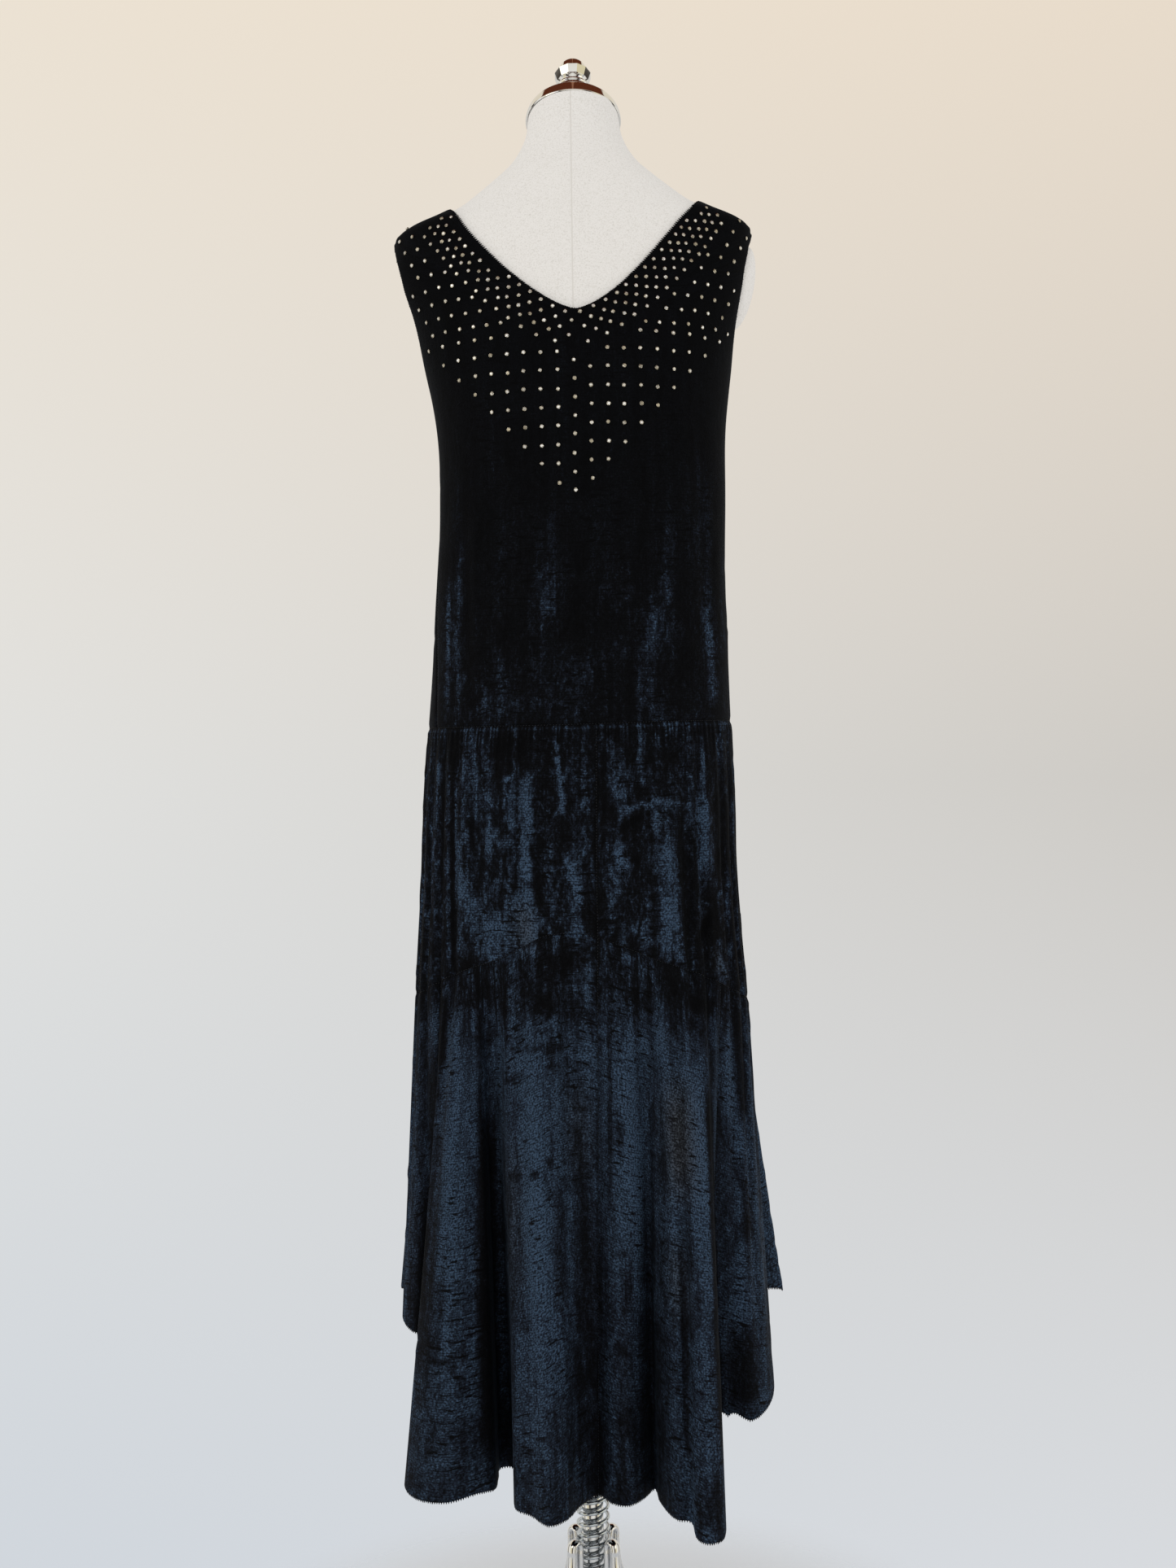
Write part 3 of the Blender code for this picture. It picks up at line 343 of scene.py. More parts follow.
# Creases: soft ridges and troughs laid on the cloth one by one, then small crush marks.
backCreases = (  # x and z of both ends, sideways bow, half width, height
    # bodice, faint and long
    (-0.12, 1.3, -0.118, 1.06, 0.003, 0.006, -0.0012), (-0.106, 1.27, -0.104, 1.05, -0.002, 0.0055, 0.0009),
    (-0.03, 1.16, -0.052, 1.06, 0.006, 0.005, 0.0008), (0.024, 1.2, 0.058, 1.15, 0.005, 0.0045, 0.001),
    (0.046, 1.17, 0.01, 1.11, -0.006, 0.0045, -0.0009), (0.072, 1.24, 0.078, 1.07, 0.004, 0.006, 0.0012),
    (0.12, 1.36, 0.128, 1.07, 0.004, 0.007, -0.0014), (0.104, 1.15, 0.126, 1.09, -0.005, 0.0045, 0.001),
    (-0.06, 1.44, -0.082, 1.36, 0.004, 0.006, -0.0007), (0.052, 1.43, 0.094, 1.34, -0.005, 0.006, -0.0007),
    # hip tier: soft upright folds and the curved one right of the middle
    (-0.058, 1.02, -0.058, 0.81, 0.002, 0.0085, 0.003), (-0.046, 0.99, -0.045, 0.85, 0.002, 0.0055, -0.002),
    (-0.076, 1.01, -0.074, 0.88, -0.002, 0.0065, 0.0022), (-0.067, 1.0, -0.067, 0.84, 0.002, 0.005, -0.0018),
    (-0.12, 1.0, -0.121, 0.79, 0.002, 0.008, 0.0022), (-0.105, 1.01, -0.108, 0.8, -0.002, 0.0055, -0.002),
    (-0.027, 1.026, -0.02, 0.935, 0.003, 0.004, 0.0018), (-0.02, 0.915, -0.004, 0.866, 0.002, 0.004, 0.0018),
    (0.029, 1.025, 0.031, 0.94, -0.002, 0.0055, 0.0012), (0.033, 0.939, 0.105, 0.954, 0.013, 0.004, 0.0026),
    (0.033, 0.928, 0.1, 0.943, 0.012, 0.0045, -0.0022), (0.06, 0.985, 0.088, 1.005, -0.004, 0.0045, 0.0014),
    (0.044, 0.85, 0.078, 0.812, 0.006, 0.005, 0.0015), (0.087, 0.945, 0.089, 0.8, -0.003, 0.008, 0.0028),
    (0.124, 0.985, 0.125, 0.87, 0.002, 0.0065, 0.002), (0.104, 0.99, 0.106, 0.8, 0.002, 0.0055, -0.002),
    (0.133, 0.85, 0.115, 0.805, -0.003, 0.0045, -0.0018), (-0.01, 0.9, 0.016, 0.848, -0.004, 0.0045, 0.0012),
    (-0.04, 0.822, 0.01, 0.826, 0.004, 0.0035, 0.0012),
    # flounce: drag lines from the seam and the crush of the folds
    (-0.054, 0.79, -0.053, 0.36, 0.002, 0.0085, 0.002), (-0.036, 0.74, -0.034, 0.4, -0.003, 0.006, -0.0016),
    (-0.104, 0.74, -0.124, 0.43, 0.003, 0.006, -0.0014), (-0.016, 0.79, -0.006, 0.5, 0.004, 0.0065, -0.0014),
    (0.036, 0.78, 0.046, 0.4, 0.003, 0.008, 0.0016), (0.06, 0.77, 0.074, 0.52, 0.003, 0.006, -0.0014),
    (0.092, 0.55, 0.094, 0.33, 0.002, 0.0045, -0.002), (0.107, 0.72, 0.118, 0.4, 0.002, 0.006, 0.0018),
    (-0.128, 0.75, -0.146, 0.38, -0.003, 0.0065, 0.0014),
    (-0.062, 0.47, -0.03, 0.425, -0.006, 0.0045, 0.0012),
    (-0.128, 0.42, -0.164, 0.35, 0.006, 0.005, -0.0012), (0.004, 0.52, 0.036, 0.47, 0.006, 0.005, 0.001),
    (-0.084, 0.714, -0.016, 0.717, 0.003, 0.0035, -0.0012),
    (-0.082, 0.681, -0.036, 0.692, -0.003, 0.0035, -0.0012),
    (-0.062, 0.59, -0.036, 0.59, 0.002, 0.003, -0.0014),
    (-0.165, 0.393, -0.139, 0.394, 0.002, 0.0035, -0.0012),
)
frontCreases = (
    (0.098, 1.31, 0.06, 1.1, 0.01, 0.008, -0.0012), (-0.096, 1.31, -0.064, 1.12, -0.009, 0.008, -0.0012),
    (0.03, 1.27, 0.034, 1.08, 0.004, 0.007, 0.0012), (-0.026, 1.25, -0.038, 1.07, -0.004, 0.007, 0.0011),
    (0.124, 1.22, 0.128, 1.06, 0.003, 0.006, -0.0012), (-0.122, 1.2, -0.126, 1.06, -0.003, 0.006, 0.001),
    (0.07, 1.14, 0.02, 1.1, 0.006, 0.005, 0.001), (-0.072, 1.16, -0.022, 1.13, -0.006, 0.005, -0.0009),
    (0.088, 1.02, 0.092, 0.81, 0.003, 0.007, 0.0026), (-0.082, 1.015, -0.09, 0.81, -0.003, 0.007, 0.0024),
    (0.052, 1.01, 0.05, 0.85, 0.003, 0.0065, -0.0018), (-0.046, 1.02, -0.04, 0.86, 0.003, 0.0065, 0.0018),
    (0.008, 1.0, -0.006, 0.85, 0.004, 0.006, 0.0012), (0.03, 0.93, 0.096, 0.948, 0.01, 0.005, 0.0018),
    (-0.034, 0.915, -0.098, 0.94, -0.01, 0.005, 0.0018), (0.112, 0.99, 0.116, 0.8, 0.002, 0.006, -0.002),
    (0.046, 0.77, 0.052, 0.52, 0.003, 0.0065, 0.0016), (-0.052, 0.77, -0.06, 0.54, -0.003, 0.0065, 0.0016),
    (0.002, 0.77, 0.006, 0.5, 0.004, 0.007, -0.0014), (0.096, 0.76, 0.112, 0.52, 0.003, 0.0065, 0.0014),
    (-0.1, 0.76, -0.118, 0.53, -0.003, 0.0065, -0.0014), (0.14, 0.74, 0.16, 0.54, 0.003, 0.006, 0.0012),
)
# Where the pile lies over and looks lighter or darker, partly painted light: lighter on raised creases as a
# painted highlight, darker in sunk creases and fold valleys as painted shade. The same columns, with a
# strength for the height.
napAndLightStrokes = (
    # bodice
    (0.128, 1.33, 0.132, 1.08, 0.0, 0.008, 0.2), (0.113, 1.32, 0.116, 1.12, 0.0, 0.004, 0.1),
    (0.062, 1.13, 0.108, 1.12, 0.0, 0.024, 0.16), (0.01, 1.112, 0.05, 1.118, 0.0, 0.018, 0.1),
    (-0.088, 1.09, -0.05, 1.09, 0.0, 0.024, 0.1), (-0.124, 1.33, -0.126, 1.06, 0.0, 0.004, 0.16),
    (-0.136, 1.2, -0.138, 1.05, 0.0, 0.003, 0.22), (0.134, 1.15, 0.137, 1.05, 0.0, 0.005, 0.2),
    (-0.11, 1.06, -0.02, 1.06, 0.0, 0.01, 0.1), (0.03, 1.15, 0.052, 1.17, 0.0, 0.004, 0.18),
    (0.086, 1.19, 0.094, 1.15, 0.0, 0.004, 0.16), (-0.02, 1.23, -0.018, 1.16, 0.0, 0.016, 0.05),
    # hip tier
    (-0.057, 1.0, -0.058, 0.867, 0.0, 0.007, 0.36), (-0.06, 0.878, -0.058, 0.799, 0.0, 0.012, 0.26),
    (-0.076, 0.992, -0.073, 0.93, 0.0, 0.006, 0.25), (-0.109, 1.036, -0.109, 0.938, 0.0, 0.0025, 0.3),
    (-0.138, 0.917, -0.138, 0.779, 0.0, 0.003, 0.31), (-0.12, 0.9, -0.12, 0.795, 0.0, 0.008, 0.25),
    (-0.132, 1.022, -0.134, 0.787, 0.0, 0.0025, -0.3), (-0.124, 1.03, -0.125, 0.911, 0.0, 0.0025, -0.18),
    (-0.088, 0.846, -0.087, 0.797, 0.0, 0.015, 0.18), (-0.027, 1.024, -0.021, 0.94, 0.002, 0.0025, 0.34),
    (-0.02, 0.91, -0.006, 0.869, 0.0, 0.0025, 0.3), (0.029, 1.026, 0.03, 0.952, 0.0, 0.005, 0.19),
    (0.039, 0.922, 0.041, 0.887, 0.0, 0.008, 0.21), (0.033, 0.939, 0.103, 0.954, 0.011, 0.0028, 0.3),
    (0.035, 0.928, 0.063, 0.944, 0.002, 0.0035, -0.34), (0.059, 0.909, 0.09, 0.896, 0.0, 0.011, 0.18),
    (0.085, 0.925, 0.089, 0.865, 0.0, 0.006, 0.26), (0.085, 0.87, 0.089, 0.795, 0.0, 0.009, 0.34),
    (0.124, 0.967, 0.125, 0.886, 0.0, 0.008, 0.21), (0.148, 0.926, 0.15, 0.772, 0.0, 0.003, 0.3),
    (0.139, 0.821, 0.14, 0.778, 0.0, 0.006, 0.18), (0.139, 0.913, 0.137, 0.875, 0.0, 0.005, -0.3),
    (0.131, 0.845, 0.116, 0.808, -0.002, 0.004, -0.34), (-0.04, 0.794, 0.017, 0.812, 0.0, 0.011, -0.24),
    (-0.004, 0.858, 0.02, 0.831, 0.0, 0.012, -0.22), (0.044, 0.838, 0.074, 0.811, 0.0, 0.009, 0.19),
    (0.074, 1.028, 0.077, 0.992, 0.0, 0.005, 0.18), (0.123, 1.03, 0.124, 0.97, 0.0, 0.0025, 0.26),
    (-0.034, 0.823, 0.007, 0.828, 0.003, 0.0025, 0.26), (0.021, 1.028, 0.02, 0.904, 0.0, 0.0025, -0.24),
    (-0.037, 1.005, -0.012, 1.002, 0.0, 0.011, -0.12), (0.055, 1.004, 0.107, 1.011, 0.0, 0.014, -0.15),
    (-0.096, 1.014, -0.064, 1.016, 0.0, 0.01, -0.14), (-0.003, 0.91, 0.012, 0.839, 0.0, 0.006, -0.18),
    (-0.028, 0.872, -0.02, 0.839, 0.0, 0.006, 0.1), (-0.148, 1.015, -0.149, 0.858, 0.0, 0.003, 0.19),
    (0.146, 1.0, 0.15, 0.79, 0.0, 0.012, -0.15),
    # flounce
    (-0.156, 0.74, -0.178, 0.36, 0.0, 0.016, -0.22),
    (-0.124, 0.709, -0.157, 0.449, 0.0, 0.0035, 0.14), (-0.147, 0.449, -0.165, 0.332, 0.0, 0.005, 0.07),
    (-0.115, 0.644, -0.138, 0.364, 0.0, 0.012, 0.03), (-0.101, 0.66, -0.106, 0.28, 0.0, 0.0085, -0.3),
    (-0.076, 0.685, -0.075, 0.488, 0.0, 0.009, -0.02), (-0.054, 0.745, -0.052, 0.583, 0.0, 0.012, 0.1),
    (-0.051, 0.589, -0.054, 0.444, 0.0, 0.012, 0.14), (-0.059, 0.447, -0.053, 0.28, 0.0, 0.011, 0.07),
    (-0.028, 0.596, -0.028, 0.447, 0.0, 0.005, -0.09), (-0.006, 0.562, -0.003, 0.29, 0.0, 0.011, -0.11),
    (0.043, 0.737, 0.045, 0.507, 0.0, 0.021, 0.06), (0.024, 0.764, 0.022, 0.541, 0.0, 0.0025, -0.15),
    (0.033, 0.644, 0.034, 0.6, 0.0, 0.0045, -0.22), (0.107, 0.702, 0.116, 0.54, 0.0, 0.007, 0.15),
    (0.114, 0.546, 0.122, 0.28, 0.0, 0.008, 0.07), (0.121, 0.695, 0.131, 0.29, 0.0, 0.0045, -0.34),
    (0.06, 0.452, 0.062, 0.29, 0.0, 0.014, -0.1), (0.092, 0.526, 0.094, 0.3, 0.0, 0.003, -0.17),
    (0.143, 0.725, 0.158, 0.58, 0.0, 0.007, 0.07), (0.153, 0.593, 0.166, 0.495, 0.002, 0.007, -0.22),
    (0.155, 0.752, 0.164, 0.62, 0.0, 0.007, -0.21), (0.178, 0.688, 0.184, 0.505, 0.0, 0.004, -0.12),
    (0.15, 0.492, 0.162, 0.4, 0.0, 0.009, 0.07), (-0.158, 0.757, -0.171, 0.544, 0.0, 0.0045, 0.12),
    (-0.144, 0.77, -0.148, 0.686, 0.0, 0.005, -0.3), (0.154, 0.424, 0.16, 0.33, 0.0, 0.016, -0.2),
    (-0.171, 0.537, -0.171, 0.435, 0.0, 0.005, -0.14), (-0.048, 0.765, -0.031, 0.748, 0.0, 0.009, -0.21),
    (-0.088, 0.756, -0.072, 0.749, 0.0, 0.007, -0.12), (-0.014, 0.745, 0.01, 0.748, 0.0, 0.008, -0.09),
    (0.098, 0.76, 0.132, 0.746, 0.0, 0.008, -0.25), (0.037, 0.764, 0.064, 0.757, 0.0, 0.009, -0.11),
    (-0.112, 0.773, -0.088, 0.766, 0.0, 0.008, -0.14), (-0.082, 0.713, -0.014, 0.716, 0.0, 0.003, -0.21),
    (-0.045, 0.697, -0.015, 0.704, 0.0, 0.003, -0.16), (-0.085, 0.681, -0.062, 0.69, 0.0, 0.0028, -0.21),
    (-0.041, 0.601, -0.033, 0.603, 0.0, 0.003, -0.19), (-0.059, 0.592, -0.04, 0.589, 0.0, 0.0026, -0.25),
    (-0.079, 0.586, -0.064, 0.588, 0.0, 0.0026, -0.19), (0.026, 0.717, 0.05, 0.703, 0.0, 0.003, -0.07),
    (0.085, 0.584, 0.099, 0.58, 0.0, 0.005, -0.12), (0.075, 0.55, 0.097, 0.543, 0.0, 0.003, -0.15),
    (0.022, 0.412, 0.039, 0.407, 0.0, 0.005, -0.12), (-0.168, 0.393, -0.141, 0.394, 0.0, 0.003, -0.19),
    (0.013, 0.504, 0.04, 0.505, 0.0, 0.0026, -0.1),
)
warmStrokes = (  # the same columns: pile worn to a warm grey
    (0.088, 0.7, 0.094, 0.54, 0.0, 0.015, 0.68), (0.084, 0.54, 0.092, 0.42, 0.0, 0.01, 0.34),
    (-0.06, 0.868, -0.058, 0.8, 0.0, 0.011, 0.34), (-0.08, 0.66, -0.076, 0.42, 0.0, 0.012, 0.26),
    (0.133, 0.815, 0.135, 0.77, 0.0, 0.009, 0.3), (-0.01, 0.7, -0.006, 0.56, 0.0, 0.013, 0.22),
)


def strokesAt(across, up, strokes, ends, power):
    total = np.zeros_like(across)
    for x0, z0, x1, z1, bow, halfWidth, amount in strokes:
        run = np.array([x1 - x0, z1 - z0])
        length = np.linalg.norm(run)
        along, aside = run / length, np.array([-run[1], run[0]]) / length
        t = ((across - x0) * along[0] + (up - z0) * along[1]) / length
        inside = np.clip(t, 0.0, 1.0)
        off = (across - x0) * aside[0] + (up - z0) * aside[1] - bow * 4 * inside * (1 - inside)
        fade = eased(np.minimum(t, 1.0 - t) / ends)
        total += amount * fade * np.exp(-np.abs(off / halfWidth) ** power)
    return total


strokeShape = {"crease": (0.3, 2.0), "napAndLight": (0.16, 3.0), "warm": (0.4, 2.0)}  # share of soft ends, squareness
crush = {"reach": (0.018, 0.060), "halfWidth": (0.0022, 0.0050), "height": (0.0003, 0.0009), "lean": 0.9,
         "sway": 0.8, "swayTurns": 4.0, "taper": 1.5}
backSide = {"from": 0.035, "fade": 0.03}     # how far forward the marks of the back are carried


def shareAtBack(y):
    return eased((backSide["from"] - y) / backSide["fade"])


def crushHeight(across, up, seed, count, box):
    random = np.random.default_rng(seed)
    total = np.zeros_like(across)
    for _ in range(count):
        x, z = random.uniform(box[0], box[1]), random.uniform(box[2], box[3])
        length, width = random.uniform(*crush["reach"]), random.uniform(*crush["halfWidth"])
        tall = random.uniform(*crush["height"]) * random.choice([-1.0, 1.0])
        turn = random.normal(0.0, crush["lean"])
        along = (math.sin(turn), math.cos(turn))
        near = (np.abs(across - x) < length) & (np.abs(up - z) < length)
        if not near.any():
            continue
        dx, dz = across[near] - x, up[near] - z
        t = (dx * along[0] + dz * along[1]) / length
        off = (dx * along[1] - dz * along[0]) / width + crush["sway"] * np.sin(crush["swayTurns"] * t + turn)
        total[near] += tall * np.exp(-off ** 2) * np.clip(1 - 4 * t * t, 0, 1) ** crush["taper"]
    return total


sheenAndMarbleByHeight = tableCurve((  # height, how light the pile is (a painted sheen: darker high up, lighter lower down), how marbled it is
    (0.24, 0.47, 0.52), (0.35, 0.50, 0.52), (0.50, 0.57, 0.50), (0.62, 0.60, 0.46), (0.70, 0.58, 0.48),
    (0.745, 0.44, 0.70), (0.770, 0.31, 0.90), (0.81, 0.34, 1.00), (0.85, 0.37, 1.00), (0.90, 0.37, 1.00),
    (0.97, 0.33, 1.00), (1.02, 0.28, 0.95), (1.04, 0.27, 0.85), (1.07, 0.27, 0.75), (1.12, 0.27, 0.75),
    (1.20, 0.21, 0.62), (1.30, 0.15, 0.50), (1.40, 0.12, 0.40), (1.70, 0.10, 0.35)))
hiddenStreaks = {"count": 70, "middle": (-180.0, 180.0), "wide": (1.4, 5.0), "up": (0.30, 1.10),
                 "tall": (0.04, 0.13), "strength": (-0.26, 0.26)}
paintedLightPerRelief = 40.0                          # painted light: a raised crease is painted lighter as a painted highlight, a sunk one darker as painted shade


# Tone of the pile at each point, with painted light in it: a painted sheen by height, painted highlight and
# shade from the relief, the strokes at the back, and streaks of the same kind elsewhere.
def napAt(points, relief, seed):
    x, y, z = points[..., 0], points[..., 1], points[..., 2]
    atBack = shareAtBack(y)
    napAndLight = sheenAndMarbleByHeight(z) + relief * paintedLightPerRelief
    napAndLight = napAndLight + atBack * strokesAt(x, z, napAndLightStrokes, *strokeShape["napAndLight"])
    random = np.random.default_rng(seed)
    turn = np.degrees(np.arctan2(x, -y))
    for _ in range(hiddenStreaks["count"]):
        middle, wide, up, tall, strength = (random.uniform(*hiddenStreaks[key])
                                            for key in ("middle", "wide", "up", "tall", "strength"))
        amount = strength * np.exp(-(wrapped(turn - middle) / wide) ** 2 - ((z - up) / tall) ** 2)
        napAndLight = napAndLight + (1 - atBack) * amount
    warm = np.clip(strokesAt(x, z, warmStrokes, *strokeShape["warm"]), 0.0, 1.0) * atBack
    return {"napAndLight": np.clip(napAndLight, 0.0, 1.0), "marble": sheenAndMarbleByHeight(z, 1), "warm": warm}


# How far each point of a grid lies from its first and last column, then its first and last row.
def edgeDistances(grid):
    step = np.linalg.norm(np.diff(grid, axis=1), axis=-1)
    run = np.concatenate([np.zeros((grid.shape[0], 1)), np.cumsum(step, axis=1)], axis=1)
    fall = np.linalg.norm(np.diff(grid, axis=0), axis=-1)
    drop = np.concatenate([np.zeros((1, grid.shape[1])), np.cumsum(fall, axis=0)], axis=0)
    return run, run[:, -1:] - run, drop, drop[-1:] - drop


clothShift, weldDistance = 0.37, 0.00002     # metres


def nearEdge(distance, reach):
    return np.exp(-(distance / reach) ** 2)


# The place on the cloth that the velvet's pattern follows, shifted from panel to panel.
def clothPlace(across, drop, seed):
    return np.stack([np.broadcast_to(across, drop.shape) + clothShift * seed, drop], axis=-1)


# Shares from 0 to 1 that lie closer together towards both ends.
def endShares(count, crowding):
    t = np.linspace(0.0, 1.0, count + 1)
    return t - crowding * np.sin(2 * math.pi * t) / (2 * math.pi)


# A sheet is a dictionary of grids: points, the three tones and its place on the cloth in metres.
def clothPiece(name, sheets, material):
    quads, count = [], 0
    for sheet in sheets:
        rows, columns = sheet["points"].shape[:2]
        number = count + np.arange(rows * columns).reshape(rows, columns)
        corners = (number[:-1, :-1], number[1:, :-1], number[1:, 1:], number[:-1, 1:])
        quads.append(np.stack(corners, axis=-1).reshape(-1, 4))
        count += rows * columns
    points = np.concatenate([sheet["points"].reshape(-1, 3) for sheet in sheets])
    mesh = bpy.data.meshes.new(name)
    mesh.from_pydata(points.tolist(), [], np.concatenate(quads).tolist())
    for key in ("napAndLight", "marble", "warm"):
        values = np.concatenate([sheet[key].reshape(-1) for sheet in sheets])
        mesh.attributes.new(key, "FLOAT", "POINT").data.foreach_set("value", values.astype(np.float32))
    place = np.concatenate([sheet["place"].reshape(-1, 2) for sheet in sheets])
    corner = np.empty(len(mesh.loops), np.int32)
    mesh.loops.foreach_get("vertex_index", corner)
    mesh.uv_layers.new(name="cloth").data.foreach_set("uv", place[corner].astype(np.float32).reshape(-1))
    if len(sheets) > 1:
        work = bmesh.new()
        work.from_mesh(mesh)
        bmesh.ops.remove_doubles(work, verts=work.verts, dist=weldDistance)
        work.to_mesh(mesh)
        work.free()
    mesh.shade_smooth()
    mesh.materials.append(material)
    piece = newObject(name, mesh)
    wall = piece.modifiers.new("wall", "SOLIDIFY")
    wall.thickness, wall.offset = dress["wall"], -1.0
    return piece


# Crushed silk velvet: the pile is near-black from above and steel blue where it is laid over, and its tone
# carries painted light and shade from the cloth; in ragged patches with dark dashes, over the fine rows of
# the weave.
velvetLook = {
    "tones": ((0.0, "#050506"), (0.20, "#0a0b0e"), (0.42, "#13171f"), (0.62, "#1e2632"), (0.82, "#283544"),
              (1.0, "#394b60")),
    "warmTones": ((0.0, "#060606"), (0.42, "#171717"), (0.72, "#282828"), (1.0, "#454443")),
    "layers": {  # size mm, stretch across and along, detail, roughness, distortion
        "patch": (44.0, 1.0, 0.34, 2.0, 0.5, 0.5), "mottle": (14.0, 1.0, 0.42, 5.0, 0.66, 1.0),
        "fray": (4.6, 1.0, 0.72, 2.0, 0.6, 0.4), "crinkle": (26.0, 1.0, 0.50, 3.0, 0.5, 1.0),
        "drag": (15.0, 1.0, 0.06, 3.0, 0.6, 0.0), "dash": (9.0, 0.50, 2.6, 3.0, 0.6, 0.5),
        "pile": (1.9, 1.0, 0.85, 2.0, 0.6, 0.0),
    },
    "shares": {"patch": 0.7, "mottle": 1.0, "fray": 0.65, "drag": 0.85},    # of the marbling
    "edge": (0.28, 0.72), "edgeShare": 0.38, "softShare": 0.50, "darkest": 0.05, "pileShare": 2.3,
    "crinkleHalf": 0.018, "crinkleHighlightShare": 0.24,
    "dash": (0.57, 0.67), "dashPatch": (0.44, 0.60), "dashLeast": 0.25, "dashShare": 0.75,
    "rowMm": 2.4, "rowSway": 5.0, "rowShare": 0.10,         # rows are drawn coarser than the real 0.6 mm
    "lifts": {"mottle": 0.70, "crinkle": 0.22, "pile": 0.30}, "bumpStrength": 0.6, "bumpDepth": 0.0012,
    "roughness": 0.85, "specular": 0.04, "sheen": 0.035, "sheenRoughness": 0.35, "sheenTint": "#8fa6c4",
}


def velvetMaterial(name, look):
    material, tree, shader = newMaterial(name)
    place = addNode(tree, "ShaderNodeUVMap", uv_map="cloth")
    napAndLight, marble, warm = (addNode(tree, "ShaderNodeAttribute", out="Fac", attribute_name=key)
                         for key in ("napAndLight", "marble", "warm"))
    layer = {}
    for key, (size, across, along, detail, roughness, distortion) in look["layers"].items():
        stretch = (1000 * across / size, 1000 * along / size, 1.0)
        scaled = addNode(tree, "ShaderNodeVectorMath", {0: place, 1: stretch}, operation="MULTIPLY")
        layer[key] = addNode(tree, "ShaderNodeTexNoise",
                             {"Vector": scaled, "Scale": 1.0, "Detail": detail, "Roughness": roughness,
                              "Distortion": distortion}, out="Fac", noise_dimensions="2D")

    layAndLight = napAndLight                               # how far the pile is laid over, with painted light and shade, broken up where it is marbled
    for key, share in look["shares"].items():
        swing = addNode(tree, "ShaderNodeMath", {0: layer[key], 1: 0.5}, operation="SUBTRACT")
        swing = addNode(tree, "ShaderNodeMath", {0: swing, 1: marble}, operation="MULTIPLY")
        layAndLight = addNode(tree, "ShaderNodeMath", {0: swing, 1: share, 2: layAndLight}, operation="MULTIPLY_ADD")

    # tone: ragged patches with an edge, over a soft rise
    tone = addNode(tree, "ShaderNodeMapRange", {"Value": layAndLight, "From Min": look["edge"][0],
                                                "From Max": look["edge"][1]}, interpolation_type="SMOOTHSTEP")
    tone = addNode(tree, "ShaderNodeMath", {0: tone, 1: look["edgeShare"], 2: look["darkest"]},
                   operation="MULTIPLY_ADD")
    soft = addNode(tree, "ShaderNodeMath", {0: layAndLight, 1: 0.0}, operation="MAXIMUM")
    tone = addNode(tree, "ShaderNodeMath", {0: soft, 1: look["softShare"], 2: tone},
                   operation="MULTIPLY_ADD")

    # fine crinkle lines, raised in the bump, with a painted highlight where they catch the light
    crinkle = addNode(tree, "ShaderNodeMath", {0: layer["crinkle"], 1: 0.5}, operation="SUBTRACT")
    crinkle = addNode(tree, "ShaderNodeMath", {0: crinkle}, operation="ABSOLUTE")
    crinkle = addNode(tree, "ShaderNodeMapRange",
                      {"Value": crinkle, "From Min": 0.0, "From Max": look["crinkleHalf"], "To Min": 1.0,
                       "To Max": 0.0}, interpolation_type="SMOOTHSTEP")
    shown = addNode(tree, "ShaderNodeMath", {0: crinkle, 1: marble}, operation="MULTIPLY")
    shown = addNode(tree, "ShaderNodeMath", {0: shown, 1: layer["patch"]}, operation="MULTIPLY")
    tone = addNode(tree, "ShaderNodeMath", {0: shown, 1: look["crinkleHighlightShare"], 2: tone},
                   operation="MULTIPLY_ADD")

    # short dark dashes, gathered in some of the patches
    dash = addNode(tree, "ShaderNodeMapRange", {"Value": layer["dash"], "From Min": look["dash"][0],
                                                "From Max": look["dash"][1]}, interpolation_type="SMOOTHSTEP")
    where = addNode(tree, "ShaderNodeMapRange",
                    {"Value": layer["patch"], "From Min": look["dashPatch"][0],
                     "From Max": look["dashPatch"][1], "To Min": look["dashLeast"]},
                    interpolation_type="SMOOTHSTEP")
    dash = addNode(tree, "ShaderNodeMath", {0: dash, 1: where}, operation="MULTIPLY")
    dash = addNode(tree, "ShaderNodeMath", {0: dash, 1: tone}, operation="MULTIPLY")
    tone = addNode(tree, "ShaderNodeMath", {0: dash, 1: -look["dashShare"], 2: tone},
                   operation="MULTIPLY_ADD")

    # grain of the pile and the swaying rows of the weave
    grain = addNode(tree, "ShaderNodeMath",
                    {0: layer["pile"], 1: look["pileShare"], 2: 1 - look["pileShare"] / 2},
                    operation="MULTIPLY_ADD")
    tone = addNode(tree, "ShaderNodeMath", {0: tone, 1: grain}, operation="MULTIPLY")
    down = addNode(tree, "ShaderNodeSeparateXYZ", {0: place}, out="Y")
    rows = addNode(tree, "ShaderNodeMath", {0: down, 1: 2000 * math.pi / look["rowMm"]}, operation="MULTIPLY")
    rows = addNode(tree, "ShaderNodeMath", {0: layer["fray"], 1: look["rowSway"], 2: rows},
                   operation="MULTIPLY_ADD")
    rows = addNode(tree, "ShaderNodeMath", {0: rows}, operation="SINE")
    rows = addNode(tree, "ShaderNodeMath", {0: rows, 1: look["rowShare"], 2: 1.0}, operation="MULTIPLY_ADD")
    tone = addNode(tree, "ShaderNodeMath", {0: tone, 1: rows}, operation="MULTIPLY")

